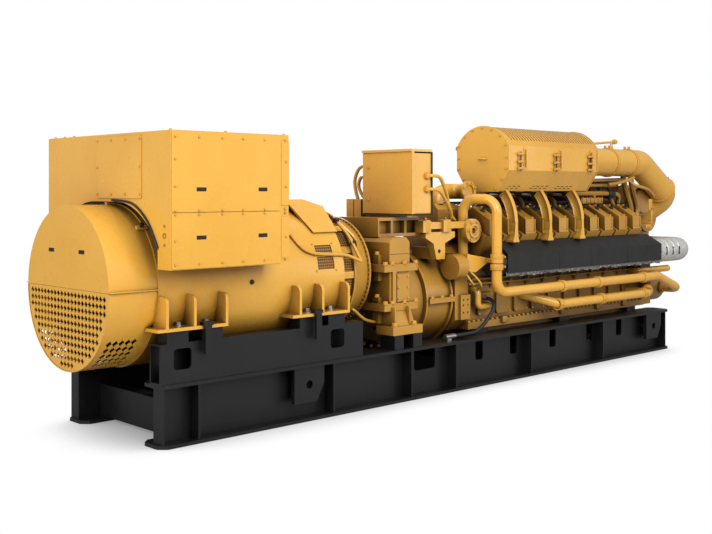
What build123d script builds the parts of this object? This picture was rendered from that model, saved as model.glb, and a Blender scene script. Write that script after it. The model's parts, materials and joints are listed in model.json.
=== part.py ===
from build123d import *
import os
from math import cos, radians, sin, sqrt

# Lengths are in millimetres. X runs along the base from the generator end, Y across, Z up from the floor.

# Base frame
BASE_LENGTH = 7300.0
BASE_WIDTH = 1460.0
RAIL_HEIGHT = 480.0
RAIL_FLANGE = 290.0
FLANGE_THICK = 28.0
WEB_THICK = 24.0
FLANGE_CHAMFER = 60.0
STIFFENER_THICK = 18.0
STIFFENER_SHARES = (0.004, 0.047, 0.238, 0.371, 0.457, 0.620, 0.803, 0.990)
WEB_SLOT_WIDTH = 115.0
WEB_SLOT_HEIGHT = 198.0
WEB_SLOT_SHARES = (0.523, 0.599, 0.693, 0.789, 0.872)
WEB_DOOR_WIDTH = 294.0
WEB_DOOR_SHARE = 0.4125
CROSS_HEIGHT = 270.0
CROSS_DEPTH = 120.0
CROSS_THICK = 16.0
CROSS_SHARES = (0.032, 0.250, 0.440, 0.610, 0.790, 0.960)
LUG_LENGTH = 330.0
LUG_HEIGHT = 300.0
LUG_THICK = 40.0
LUG_HOLE = 70.0
LUG_SHARES = (0.2022, 0.9545)

# Generator rails, pads and feet
GEN_RAIL_LENGTH = 2085.0
GEN_RAIL_WIDTH = 145.0
GEN_RAIL_HEIGHT = 305.0
GEN_RAIL_WALL = 14.0
GEN_RAIL_INSET = 15.0
GEN_RAIL_HOLE = 160.0
GEN_RAIL_HOLE_SHARES = (0.095, 0.855)
PAD_HEIGHT = 95.0
PAD_LENGTH = 190.0
PAD_WIDTH = 125.0
CLAMP_LENGTH = 90.0
CLAMP_HEIGHT = 215.0
CLAMP_THICK = 28.0
CLAMP_SHARES = (0.1875, 0.7266)
FOOT_LENGTH = 640.0
FOOT_WIDTH = 215.0
FOOT_PLATE = 25.0
FOOT_HEIGHT = 262.0
FOOT_GUSSET = 24.0
FOOT_STATION_SHARES = (-0.022, 0.600)

# Generator
SHAFT_HEIGHT = 305.0
FRAME_RADIUS = 650.0
FRAME_REAR = 25.0
FRAME_LENGTH = 1900.0
HOOD_RADIUS = 640.0
HOOD_LENGTH = 410.0
HOOD_WALL = 8.0
SPLIT_GAP = 3.0
GRILLE_PITCH = 54.0
GRILLE_ROW = 41.0
GRILLE_HOLE = 34.0
GRILLE_COLUMNS = 22
GRILLE_ROWS = 14
SIDE_SLOT_LENGTH = 58.0
SIDE_SLOT_WIDTH = 38.0
SIDE_SLOT_PITCH = 66.0
SIDE_SLOT_COLUMNS = 5
SIDE_SLOT_ANGLES = (36.0, 42.0, 48.0, 53.5, 58.5, 63.0)
HOOD_LEDGE = 22.0
HOOD_SLOT_LENGTH = 86.0
HOOD_SLOT_RISE = 272.0
HOOD_SLOT_OUT = 239.0
SCREEN_LENGTH = 190.0
SCREEN_SETBACK = 113.0
SCREEN_DEPTH = 30.0
SCREEN_ANGLES = (6.5, 16.0, 18.8, 25.3)
NECK_RADIUS = 560.0
NECK_LENGTH = 180.0
BELL_RADIUS = 560.0
BELL_END_RADIUS = 480.0
BELL_LENGTH = 290.0
BELL_RIM = 20.0
NECK_BARS = 16
NECK_BAR_ANGLE = 6.0
CANOPY_REAR = 1530.0
CANOPY_TOP = 671.0
CANOPY_TOP_HALF = 300.0
CANOPY_LOW = 365.0
CANOPY_FLAT = 202.0
CANOPY_FALL = 66.0
CANOPY_THICK = 8.0

# Terminal box
BOX_REAR = -55.0
BOX_LENGTH = 1105.0
BOX_HALF_WIDTH = 945.0
BOX_BOTTOM_RISE = 170.0
BOX_HEIGHT = 1022.0
BOX_SEAM_SHARE = 0.41
COVER_THICK = 6.0
COVER_CORNER = 18.0
COVER_STRIP = 82.0
HANDLE_LENGTH = 88.0
HANDLE_HEIGHT = 30.0
HANDLE_SHARES = (0.255, 0.822)
HANDLE_RISE = 170.0
HANDLE_DROP = 187.0
END_COVER_WIDTH = 670.0
END_COVER_HEIGHT = 480.0
END_COVER_SHIFT = -216.0
SEAL_WIDTH = 14.0
SADDLE_HALF = 767.0
SADDLE_SIDE = 1515.0
SADDLE_SHOULDER = (551.0, 1737.0)
SADDLE_TOP = (159.0, 1850.0)
SADDLE_DEPTH = 150.0

# Gearbox
CRANK_DROP = 325.0
GEAR_GAP = 140.0
GEAR_LENGTH = 265.0
GEAR_HALF_WIDTH = 600.0
GEAR_TOP_RISE = 315.0
GEAR_NECK = 290.0
GEAR_BAR_HEIGHT = 68.0
GEAR_BAR_LENGTH = 440.0
GEAR_BAR_STEP = 22.0
GEAR_SPLIT_RISE = 35.0
GEAR_FOOT_PLATE = 78.0
GEAR_FOOT_LENGTH = 390.0
GEAR_FOOT_SPREAD = 110.0
GEAR_POST_HEIGHT = 132.0
GEAR_CHAMFER = 45.0
GEAR_BOSS_OUT = 460.0
GEAR_BOSS_WIDTH = 76.0
GEAR_COVER_RADIUS = 310.0
STAND_LENGTH = 550.0
STAND_HALF_WIDTH = 420.0
STAND_HEIGHT = 180.0

# Flywheel guard and housing
GUARD_RADIUS = 500.0
GUARD_RIM = 24.0
FLYWHEEL_LENGTH = 200.0
FLYWHEEL_HALF_WIDTH = 500.0
SIDE_PLATE_THICK = 30.0

# Engine block
CYLINDERS = 10
CYLINDER_PITCH = 299.0
ENGINE_REAR = 3760.0
ENGINE_OVERHANG = 160.0
BANK_ANGLE = 30.0
DECK_HEIGHT = 560.0
HEAD_HEIGHT = 262.0
HEAD_LENGTH = 262.0
HEAD_OUT = 205.0
HEAD_IN = 185.0
COVER_LENGTH = 156.0
COVER_HEIGHT = 140.0
BLOCK_HALF_WIDTH = 440.0
BLOCK_BOTTOM_DROP = 260.0
VALLEY_RISE = 400.0
PAN_RAIL_HEIGHT = 68.0
PAN_RAIL_OUT = 60.0
PAN_HALF_WIDTH = 400.0
PAN_DEPTH = 210.0
DOOR_LENGTH = 225.0
DOOR_HEIGHT = 230.0
DOOR_THICK = 26.0
ENGINE_FOOT_LENGTH = 180.0
ENGINE_FOOT_SHARES = (0.04, 0.50, 0.94)

# Exhaust
MANIFOLD_RADIUS = 118.0
MANIFOLD_OUT = 573.0
MANIFOLD_RISE = 336.0
SHIELD_OUT = 700.0
SHIELD_REAR = 4152.0
SHIELD_LENGTH = 3000.0
SHIELD_SIDE = 196.0
SHIELD_SLOPE_RISE = 121.0
SHIELD_SLOPE_IN = 140.0
SHIELD_THICK = 8.0
SHIELD_CHAMFER = 130.0
BELLOWS_RADIUS = 145.0
BELLOWS_LENGTH = 530.0
BELLOWS_RIB = 9.0
BELLOWS_RINGS = 3
ELBOW_BEND = 155.0

# Air path
CLEANER_REAR = 4210.0
CLEANER_LENGTH = 1590.0
CLEANER_SHIFT = -325.0
CLEANER_HALF_WIDTH = 345.0
CLEANER_FOOT_HALF = 200.0
CLEANER_BOTTOM = 1931.0
CLEANER_CHAMFER = 215.0
CLEANER_SIDE = 254.0
CLEANER_ARCH = 208.0
CLEANER_CAP = 14.0
LOUVRES = 32
LOUVRE_WIDTH = 14.0
LOUVRE_DEPTH = 8.0
LOUVRE_ANGLE = 40.0
VENT_LENGTH = 52.0
VENT_HEIGHT = 9.0
VENT_SHARES = (0.04, 0.09, 0.14, 0.30, 0.35, 0.40, 0.45, 0.58, 0.63, 0.68, 0.73)
LATCH_LENGTH = 60.0
LATCH_HEIGHT = 230.0
LATCH_THICK = 24.0
LATCH_SHARES = (0.17, 0.56, 0.93)
STRAP_WIDTH = 100.0
STRAP_THICK = 58.0
STRAP_OUT = 660.0
STRAP_SHIFT = 26.0
STRAP_CYLINDERS = (1, 3, 5)
DUCT_RADIUS = 165.0
DUCT_Z = 2275.0
DUCT_LENGTH = 1350.0
DUCT_BAND = 12.0
DUCT_BAND_WIDTH = 42.0
DUCT_BAND_SHARES = (0.55, 0.87)
ELBOW_LEAD = 96.0
ELBOW_RUN = 654.0
ELBOW_FALL = 399.0
PLENUM_HALF = 105.0
PLENUM_HEIGHT = 300.0

# Coolant pipes
RISER_STATION = 3908.0
PIPE_RADIUS = 52.0
PIPE_OUT = 750.0
RISER_TOP = 1850.0
UPPER_PIPE_Z = 910.0
LOWER_PIPE_Z = 719.0
PIPE_BEND = 140.0
UPPER_PIPE_END = 6970.0
PIPE_CLAMP = 13.0
PIPE_CLAMP_WIDTH = 44.0
PIPE_CLAMP_STATIONS = (5009.0, 5692.0, 6638.0)
OIL_PIPE_RADIUS = 34.0

# Front end
FRONT_LENGTH = 210.0
FRONT_HALF_WIDTH = 470.0
PUMP_RADIUS = 170.0
PUMP_OUT = 320.0
DAMPER_RADIUS = 155.0
TURBO_RADIUS = 200.0
TURBO_RISE = 410.0

# Control box and gas line
CONTROL_REAR = 2800.0
CONTROL_DEPTH = 245.0
CONTROL_NEAR = -650.0
CONTROL_WIDTH = 637.0
CONTROL_BOTTOM = 1719.0
CONTROL_HEIGHT = 568.0
CONTROL_LID = 30.0
LID_OVERHANG = 14.0
GAS_RADIUS = 80.0
GAS_FLANGE = 108.0
GAS_STATION = 3983.0
GAS_Z = 1927.0
CONDUIT_RADIUS = 14.0
HOSE_RADIUS = 19.0
VALVE_REAR = 3065.0
VALVE_LENGTH = 640.0
VALVE_HEIGHT = 112.0
VALVE_OUT = 500.0
VALVE_RISE = 670.0
DISC_RADIUS = 120.0
STARTER_RADIUS = 125.0
STARTER_LENGTH = 150.0
STARTER_OUT = 537.0
STARTER_RISE = 322.0
COOLER_LENGTH = 325.0
COOLER_HALF_WIDTH = 235.0
COOLER_TOP = 1800.0

# Cut overrun and seating clearance
OVERRUN = 20.0
SEAT = 0.3

# Levels and stations
HOOD_FRONT = FRAME_REAR - HOOD_LENGTH
SHIELD_FRONT = SHIELD_REAR + SHIELD_LENGTH
TURBO_STATION = SHIELD_FRONT + BELLOWS_LENGTH + ELBOW_BEND + BELLOWS_RIB
FRONT_REACH = CLEANER_REAR + CLEANER_LENGTH + DUCT_LENGTH + ELBOW_LEAD + ELBOW_RUN + DUCT_RADIUS
MID_LENGTH = (HOOD_FRONT + FRONT_REACH) / 2
HALF_WIDTH = BASE_WIDTH / 2
RAIL_Y = HALF_WIDTH - RAIL_FLANGE / 2
PAD_BOTTOM = RAIL_HEIGHT + GEN_RAIL_HEIGHT
FOOT_BOTTOM = PAD_BOTTOM + PAD_HEIGHT
SHAFT_Z = FOOT_BOTTOM + SHAFT_HEIGHT
CRANK_Z = SHAFT_Z - CRANK_DROP
FRAME_FRONT = FRAME_REAR + FRAME_LENGTH
BELL_REAR = FRAME_FRONT + NECK_LENGTH
BELL_FRONT = BELL_REAR + BELL_LENGTH
GEAR_REAR = BELL_FRONT + GEAR_GAP
GEAR_FRONT = GEAR_REAR + GEAR_LENGTH
GUARD_REAR = (GEAR_REAR + GEAR_FRONT + GEAR_BAR_LENGTH) / 2
ENGINE_LENGTH = CYLINDERS * CYLINDER_PITCH + 2 * ENGINE_OVERHANG
ENGINE_FRONT = ENGINE_REAR + ENGINE_LENGTH
FIRST_CYLINDER = ENGINE_REAR + ENGINE_OVERHANG + CYLINDER_PITCH / 2
FLYWHEEL_REAR = ENGINE_REAR - FLYWHEEL_LENGTH
BLOCK_BOTTOM = CRANK_Z - BLOCK_BOTTOM_DROP
PAN_RAIL_BOTTOM = BLOCK_BOTTOM - PAN_RAIL_HEIGHT
PAN_RAIL_HALF = BLOCK_HALF_WIDTH + PAN_RAIL_OUT
BOX_BOTTOM = SHAFT_Z + BOX_BOTTOM_RISE
BOX_TOP = BOX_BOTTOM + BOX_HEIGHT
BOX_FRONT = BOX_REAR + BOX_LENGTH
MANIFOLD_Z = CRANK_Z + MANIFOLD_RISE
CLEANER_FRONT = CLEANER_REAR + CLEANER_LENGTH
CLEANER_SIDE_BOTTOM = CLEANER_BOTTOM + CLEANER_CHAMFER
CLEANER_SIDE_TOP = CLEANER_SIDE_BOTTOM + CLEANER_SIDE
DUCT_FRONT = CLEANER_FRONT + DUCT_LENGTH
FRONT_END = ENGINE_FRONT + FRONT_LENGTH
CONTROL_FRONT = CONTROL_REAR + CONTROL_DEPTH
GEAR_TOP = SHAFT_Z + GEAR_TOP_RISE
STAND_TOP = GEAR_TOP + STAND_HEIGHT
VALVE_BOTTOM = CRANK_Z + VALVE_RISE
COOLER_REAR = ENGINE_REAR - FLYWHEEL_LENGTH * 0.8
COOLER_FRONT = COOLER_REAR + COOLER_LENGTH


# Shapes shared by the sub-parts
def block(x, y, z):
    """Box between a low and a high value on each axis."""
    spans = (x, y, z)
    middle = [(low + high) / 2 for low, high in spans]
    return Pos(*middle) * Box(*[high - low for low, high in spans])


def prism_x(profile, x):
    """Outline of (y, z) points carried from x[0] to x[1]."""
    outline = Polyline([(x[0], y, z) for y, z in profile], close=True)
    return extrude(make_face(outline), amount=x[1] - x[0], dir=(1, 0, 0))


def prism_y(profile, y):
    """Outline of (x, z) points carried from y[0] to y[1]."""
    outline = Polyline([(x, y[0], z) for x, z in profile], close=True)
    return extrude(make_face(outline), amount=y[1] - y[0], dir=(0, 1, 0))


def prism_z(profile, z):
    """Outline of (x, y) points carried from z[0] to z[1]."""
    outline = Polyline([(x, y, z[0]) for x, y in profile], close=True)
    return extrude(make_face(outline), amount=z[1] - z[0], dir=(0, 0, 1))


def rod_x(radius, x, y, z):
    """Round bar along X between x[0] and x[1]."""
    return Pos((x[0] + x[1]) / 2, y, z) * Rot(0, 90, 0) * Cylinder(radius, x[1] - x[0])


def rod_y(radius, y, x, z):
    """Round bar along Y between y[0] and y[1]."""
    return Pos(x, (y[0] + y[1]) / 2, z) * Rot(90, 0, 0) * Cylinder(radius, y[1] - y[0])


def rod_z(radius, z, x, y):
    """Round bar along Z between z[0] and z[1]."""
    return Pos(x, y, (z[0] + z[1]) / 2) * Cylinder(radius, z[1] - z[0])


def window_y(width, height, corner, y, x, z):
    """Rounded rectangle cut along Y, centred on (x, z)."""
    plane = Plane(origin=(x, y[0], z), x_dir=(1, 0, 0), z_dir=(0, 1, 0))
    face = plane * RectangleRounded(width, height, corner)
    return extrude(face, amount=y[1] - y[0], dir=(0, 1, 0))


def turned_x(profile, y, z):
    """Solid turned about an axis along X from (x, radius) points."""
    outline = Polyline([(x, y, z + radius) for x, radius in profile], close=True)
    return revolve(make_face(outline), Axis((0, y, z), (1, 0, 0)))


def pipe(route, radius, bend):
    """Round pipe along a route of points with rounded corners."""
    path = FilletPolyline(*route, radius=bend)
    start = Plane(origin=path @ 0, z_dir=path % 0)
    return sweep(start * Circle(radius), path=path)


def other_side(shape):
    """Mirror image across the centre line."""
    return mirror(shape, about=Plane.XZ)


def pair(shape):
    """A shape and its mirror image."""
    return [shape, other_side(shape)]


def bank_point(out, up):
    """(y, z) of a point in the right bank: out across the bank, up along the cylinders."""
    tilt = radians(BANK_ANGLE)
    across = -out * cos(tilt) - up * sin(tilt)
    height = CRANK_Z - out * sin(tilt) + up * cos(tilt)
    return across, height


def write(name, *shapes):
    """Place a node about the middle of the overall length and save it."""
    solids = [solid for shape in shapes for solid in shape.solids()]
    node = solids[0] if len(solids) == 1 else Compound(solids)
    export_step(Pos(-MID_LENGTH, 0, 0) * node, f"parts/{name}.step")


os.makedirs("parts", exist_ok=True)


# Base rails
def base_rail():
    """Right-hand I-section rail with stiffeners and web openings."""
    outer_y, inner_y = -HALF_WIDTH, -HALF_WIDTH + RAIL_FLANGE
    flange = [
        (FLANGE_CHAMFER, outer_y),
        (BASE_LENGTH - FLANGE_CHAMFER, outer_y),
        (BASE_LENGTH, outer_y + FLANGE_CHAMFER),
        (BASE_LENGTH, inner_y - FLANGE_CHAMFER),
        (BASE_LENGTH - FLANGE_CHAMFER, inner_y),
        (FLANGE_CHAMFER, inner_y),
        (0, inner_y - FLANGE_CHAMFER),
        (0, outer_y + FLANGE_CHAMFER),
    ]
    top_under = RAIL_HEIGHT - FLANGE_THICK
    web_y = (-RAIL_Y - WEB_THICK / 2, -RAIL_Y + WEB_THICK / 2)
    rail = prism_z(flange, (0, FLANGE_THICK))
    rail += prism_z(flange, (top_under, RAIL_HEIGHT))
    web_x = (FLANGE_CHAMFER / 2, BASE_LENGTH - FLANGE_CHAMFER / 2)
    rail += block(web_x, web_y, (0, RAIL_HEIGHT))
    for share in STIFFENER_SHARES:
        x = share * BASE_LENGTH
        reach = RAIL_FLANGE / 2 - FLANGE_CHAMFER / 2
        if share not in (STIFFENER_SHARES[0], STIFFENER_SHARES[-1]):
            reach = RAIL_FLANGE / 2 - STIFFENER_THICK
        span = (-RAIL_Y - reach, -RAIL_Y)
        rail += block((x, x + STIFFENER_THICK), span, (0, RAIL_HEIGHT))
    cut_y = (web_y[0] - SEAT, web_y[1] + OVERRUN)
    slot_z = top_under - OVERRUN - WEB_SLOT_HEIGHT / 2
    for share in WEB_SLOT_SHARES:
        x = share * BASE_LENGTH
        rail -= window_y(WEB_SLOT_WIDTH, WEB_SLOT_HEIGHT, WEB_SLOT_WIDTH / 4, cut_y, x, slot_z)
    x = WEB_DOOR_SHARE * BASE_LENGTH
    rail -= window_y(WEB_DOOR_WIDTH, WEB_SLOT_HEIGHT, WEB_SLOT_WIDTH / 4, cut_y, x, slot_z)
    return rail


write("base_rails", *pair(base_rail()))


# Cross members between the rail webs
def cross_members():
    """Channels that stand on the bottom flanges and meet the webs."""
    reach = RAIL_Y - WEB_THICK / 2
    beams = []
    for share in CROSS_SHARES:
        x = share * BASE_LENGTH
        bottom, top = FLANGE_THICK, FLANGE_THICK + CROSS_HEIGHT
        profile = [
            (x, bottom),
            (x + CROSS_DEPTH, bottom),
            (x + CROSS_DEPTH, bottom + CROSS_THICK),
            (x + CROSS_THICK, bottom + CROSS_THICK),
            (x + CROSS_THICK, top - CROSS_THICK),
            (x + CROSS_DEPTH, top - CROSS_THICK),
            (x + CROSS_DEPTH, top),
            (x, top),
        ]
        beams.append(prism_y(profile, (-reach, reach)))
    return beams


write("base_cross_members", *cross_members())


# Lifting lugs under the top flanges
def lifting_lugs():
    """Plates with a chamfered corner and a shackle hole."""
    lugs = []
    top = RAIL_HEIGHT - FLANGE_THICK
    near = -HALF_WIDTH + FLANGE_THICK
    for share in LUG_SHARES:
        x = share * BASE_LENGTH
        rear, front = x - LUG_LENGTH / 2, x + LUG_LENGTH / 2
        profile = [
            (rear, top),
            (rear, top - LUG_HEIGHT),
            (front - LUG_LENGTH / 4, top - LUG_HEIGHT),
            (front, top - LUG_HEIGHT / 2),
            (front, top),
        ]
        lug = prism_y(profile, (near, near + LUG_THICK))
        hole_z = top - LUG_HEIGHT / 2
        lug -= rod_y(LUG_HOLE / 2, (near - OVERRUN, near + LUG_THICK + OVERRUN), x, hole_z)
        lugs += pair(lug)
    return lugs


write("lifting_lugs", *lifting_lugs())


# Generator rails
def generator_rail():
    """Open-ended tube with two hand holes on the right-hand rail."""
    outer_y = -HALF_WIDTH + GEN_RAIL_INSET
    span_y = (outer_y, outer_y + GEN_RAIL_WIDTH)
    span_z = (RAIL_HEIGHT, RAIL_HEIGHT + GEN_RAIL_HEIGHT)
    tube = block((0, GEN_RAIL_LENGTH), span_y, span_z)
    hollow_y = (span_y[0] + GEN_RAIL_WALL, span_y[1] - GEN_RAIL_WALL)
    hollow_z = (span_z[0] + GEN_RAIL_WALL, span_z[1] - GEN_RAIL_WALL)
    tube -= block((-OVERRUN, GEN_RAIL_LENGTH + OVERRUN), hollow_y, hollow_z)
    middle = RAIL_HEIGHT + GEN_RAIL_HEIGHT * 0.6
    for share in GEN_RAIL_HOLE_SHARES:
        cut_y = (span_y[0] - OVERRUN, span_y[0] + GEN_RAIL_WALL + OVERRUN)
        hole = (GEN_RAIL_HOLE, GEN_RAIL_HOLE, GEN_RAIL_HOLE / 5)
        tube -= window_y(*hole, cut_y, share * GEN_RAIL_LENGTH, middle)
    return tube


write("generator_rails", *pair(generator_rail()))


# Pads between the generator rails and feet
def mount_pads():
    """Two pads under each foot."""
    pads = []
    outer_y = -HALF_WIDTH + GEN_RAIL_INSET
    span_y = (outer_y, outer_y + PAD_WIDTH)
    for share in FOOT_STATION_SHARES:
        start = share * GEN_RAIL_LENGTH
        for rear in (start + FOOT_LENGTH / 6, start + FOOT_LENGTH - PAD_LENGTH - FOOT_GUSSET):
            pads += pair(block((rear, rear + PAD_LENGTH), span_y, (PAD_BOTTOM, FOOT_BOTTOM)))
    return pads


write("generator_mount_pads", *mount_pads())


# Generator feet
def generator_feet():
    """Foot plates with three round-topped gussets each, fitted to the round frame."""
    feet = []
    outer_y = -HALF_WIDTH - FOOT_PLATE
    frame = rod_x(FRAME_RADIUS, (HOOD_FRONT, BELL_FRONT), 0, SHAFT_Z)
    for share in FOOT_STATION_SHARES:
        rear = share * GEN_RAIL_LENGTH
        front = rear + FOOT_LENGTH
        plate_z = (FOOT_BOTTOM, FOOT_BOTTOM + FOOT_PLATE)
        foot = block((rear, front), (outer_y, outer_y + FOOT_WIDTH), plate_z)
        top = FOOT_BOTTOM + FOOT_HEIGHT
        nose = (-FRAME_RADIUS - outer_y) / 2
        for station in (rear + FOOT_GUSSET * 3, (rear + front) / 2, front - FOOT_GUSSET):
            span_x = (station, station + FOOT_GUSSET)
            foot += block(span_x, (outer_y, outer_y + FOOT_WIDTH), (FOOT_BOTTOM, top - nose))
            foot += block(span_x, (outer_y + nose, outer_y + FOOT_WIDTH), (top - 2 * nose, top))
            foot += rod_x(nose, span_x, outer_y + nose, top - nose)
        feet += pair(foot - frame)
    return feet


write("generator_feet", *generator_feet())


# Rail clamps
def rail_clamps():
    """Hook clamps that hold each generator foot down beside its rail."""
    clamps = []
    foot_edge = -HALF_WIDTH - FOOT_PLATE
    top = FOOT_BOTTOM + FOOT_PLATE
    for share in CLAMP_SHARES:
        x = share * GEN_RAIL_LENGTH
        head_x = (x - CLAMP_LENGTH / 2, x + CLAMP_LENGTH / 2)
        stem_x = (x - CLAMP_LENGTH / 3, x + CLAMP_LENGTH / 3)
        stem_y = (foot_edge - CLAMP_THICK, foot_edge)
        clamp = block(stem_x, stem_y, (top - CLAMP_HEIGHT, top + CLAMP_THICK))
        clamp += block(head_x, (stem_y[0], foot_edge + CLAMP_THICK), (top, top + CLAMP_THICK))
        clamps += pair(clamp)
    return clamps


write("rail_clamps", *rail_clamps())


# Generator frame
def screen_cut(low, high, depth):
    """Sector of the frame surface on the right side between two angles above the shaft."""
    reach = FRAME_RADIUS * 2
    front = FRAME_FRONT - SCREEN_SETBACK
    span_x = (front - SCREEN_LENGTH, front)
    wedge = [(0, SHAFT_Z)]
    for angle in (low, high):
        wedge.append((-reach * cos(radians(angle)), SHAFT_Z + reach * sin(radians(angle))))
    sector = prism_x(wedge, span_x)
    return sector - rod_x(FRAME_RADIUS - depth, (span_x[0] - OVERRUN, span_x[1] + OVERRUN), 0, SHAFT_Z)


def neck_bars():
    """Bars across the open drive-end neck, spaced evenly around the shaft."""
    ring = rod_x(NECK_RADIUS + BELL_RIM, (FRAME_FRONT, BELL_REAR), 0, SHAFT_Z)
    ring -= rod_x(NECK_RADIUS - BELL_RIM, (FRAME_FRONT - OVERRUN, BELL_REAR + OVERRUN), 0, SHAFT_Z)
    reach = FRAME_RADIUS * 2
    half = radians(NECK_BAR_ANGLE / 2)
    wedge = [(0, 0), (reach * cos(half), -reach * sin(half)), (reach * cos(half), reach * sin(half))]
    sector = prism_x(wedge, (FRAME_FRONT, BELL_REAR))
    bars = []
    for bar in range(NECK_BARS):
        bars.append(Pos(0, 0, SHAFT_Z) * Rot(bar * 360 / NECK_BARS, 0, 0) * sector & ring)
    return bars


def generator_frame():
    """Round frame with screened windows and a barred drive-end neck."""
    frame = rod_x(FRAME_RADIUS, (FRAME_REAR, FRAME_FRONT), 0, SHAFT_Z)
    for low, high in (SCREEN_ANGLES[:2], SCREEN_ANGLES[2:]):
        pocket = screen_cut(low, high, SCREEN_DEPTH)
        frame = frame - pocket - other_side(pocket)
    neck = rod_x(NECK_RADIUS - BELL_RIM, (FRAME_FRONT - OVERRUN, BELL_REAR), 0, SHAFT_Z)
    return frame + neck + neck_bars()


write("generator_frame", generator_frame())


# Screens in the frame windows and around the neck
def frame_screens():
    """Plates set back in the frame windows and sectors of mesh between the neck bars."""
    outer = rod_x(FRAME_RADIUS - SCREEN_DEPTH / 3, (FRAME_REAR, FRAME_FRONT), 0, SHAFT_Z)
    screens = []
    for low, high in (SCREEN_ANGLES[:2], SCREEN_ANGLES[2:]):
        screens += pair(screen_cut(low, high, SCREEN_DEPTH) & outer)
    span_x = (FRAME_FRONT, BELL_REAR)
    ring = rod_x(NECK_RADIUS, span_x, 0, SHAFT_Z)
    ring -= rod_x(NECK_RADIUS - BELL_RIM, (span_x[0] - OVERRUN, span_x[1] + OVERRUN), 0, SHAFT_Z)
    mesh = ring - neck_bars()
    return screens + mesh.solids()


write("frame_screens", *frame_screens())


# End hood
def hood_half(low, high):
    """Half of the round hood shell with its front plate, between two levels."""
    shell = rod_x(HOOD_RADIUS, (HOOD_FRONT, FRAME_REAR), 0, SHAFT_Z)
    shell -= rod_x(HOOD_RADIUS - HOOD_WALL, (HOOD_FRONT + HOOD_WALL, FRAME_REAR + OVERRUN), 0, SHAFT_Z)
    reach = HOOD_RADIUS + OVERRUN
    return shell & block((HOOD_FRONT - OVERRUN, FRAME_REAR + OVERRUN), (-reach, reach), (low, high))


def hood_upper():
    """Plain upper half with two lifting slots in the front plate and a ledge along the split."""
    half = hood_half(SHAFT_Z + SPLIT_GAP, SHAFT_Z + HOOD_RADIUS + OVERRUN)
    reach = HOOD_RADIUS + HOOD_LEDGE
    ledge_z = (SHAFT_Z + SPLIT_GAP, SHAFT_Z + SPLIT_GAP + HOOD_WALL)
    inside = HOOD_RADIUS - HOOD_WALL * 2
    ledge = block((HOOD_FRONT, FRAME_REAR), (-reach, reach), ledge_z)
    half += ledge - block((HOOD_FRONT + HOOD_WALL, FRAME_REAR + OVERRUN), (-inside, inside), ledge_z)
    for side in (-1, 1):
        y = side * HOOD_SLOT_OUT
        slot_y = (y - HOOD_SLOT_LENGTH / 2, y + HOOD_SLOT_LENGTH / 2)
        slot_z = SHAFT_Z + HOOD_SLOT_RISE
        cut_x = (HOOD_FRONT - OVERRUN, HOOD_FRONT + OVERRUN)
        half -= block(cut_x, slot_y, (slot_z, slot_z + HANDLE_HEIGHT))
    return half


def hood_lower():
    """Lower half with rows of diamond holes in front and slanted slots along both flanks."""
    half = hood_half(SHAFT_Z - HOOD_RADIUS - OVERRUN, SHAFT_Z)
    cut_x = (HOOD_FRONT - OVERRUN, HOOD_FRONT + OVERRUN)
    limit = HOOD_RADIUS - HOOD_WALL - GRILLE_HOLE
    wide, tall = GRILLE_HOLE / 2, GRILLE_HOLE / 2
    holes = []
    for row in range(GRILLE_ROWS):
        z = SHAFT_Z - GRILLE_ROW * (row + 1)
        for column in range(GRILLE_COLUMNS):
            y = (column - (GRILLE_COLUMNS - 1) / 2) * GRILLE_PITCH
            if sqrt(y * y + (z - SHAFT_Z) ** 2) < limit:
                diamond = [(y - wide, z), (y, z - tall), (y + wide, z), (y, z + tall)]
                holes.append(prism_x(diamond, cut_x))
    half -= holes
    slant = [
        (-SIDE_SLOT_LENGTH / 2, -SIDE_SLOT_WIDTH / 2),
        (-SIDE_SLOT_LENGTH / 10, -SIDE_SLOT_WIDTH / 2),
        (SIDE_SLOT_LENGTH / 2, SIDE_SLOT_WIDTH / 2),
        (SIDE_SLOT_LENGTH / 10, SIDE_SLOT_WIDTH / 2),
    ]
    tool = prism_y(slant, (-HOOD_RADIUS - OVERRUN, -HOOD_RADIUS + OVERRUN))
    slots = []
    for angle in SIDE_SLOT_ANGLES:
        for column in range(SIDE_SLOT_COLUMNS):
            x = HOOD_FRONT + SIDE_SLOT_PITCH * (column + 0.7)
            slots += pair(Pos(x, 0, SHAFT_Z) * Rot(angle, 0, 0) * tool)
    return half - slots


write("hood_upper", hood_upper())
write("hood_lower", hood_lower())


# Terminal box
def saddle(x, grow):
    """Solid under the arched cut-out of the terminal box end wall, grown by a margin."""
    side_y, side_z = SADDLE_HALF + grow, SADDLE_SIDE
    shoulder_y, shoulder_z = [size + grow * 0.7 for size in SADDLE_SHOULDER]
    top_y, top_z = SADDLE_TOP[0], SADDLE_TOP[1] + grow
    low = BOX_BOTTOM - OVERRUN
    rear = x[0]
    near_arc = ThreePointArc((rear, -side_y, side_z), (rear, -shoulder_y, shoulder_z), (rear, -top_y, top_z))
    far_arc = ThreePointArc((rear, top_y, top_z), (rear, shoulder_y, shoulder_z), (rear, side_y, side_z))
    crown = Line((rear, -top_y, top_z), (rear, top_y, top_z))
    floor = Polyline(
        (rear, side_y, side_z),
        (rear, side_y, low),
        (rear, -side_y, low),
        (rear, -side_y, side_z),
    )
    return extrude(make_face([near_arc, crown, far_arc, floor]), amount=x[1] - x[0], dir=(1, 0, 0))


def terminal_box():
    """Tall box that straddles the round frame, with an arched cut-out over the hood."""
    side = BOX_HALF_WIDTH - COVER_THICK
    box = block((BOX_REAR, BOX_FRONT), (-side, side), (BOX_BOTTOM, BOX_TOP))
    box -= rod_x(FRAME_RADIUS, (BOX_REAR - OVERRUN, BOX_FRONT + OVERRUN), 0, SHAFT_Z)
    return box - saddle((BOX_REAR - OVERRUN, BOX_REAR + SADDLE_DEPTH), 0)


write("terminal_box", terminal_box())


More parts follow.
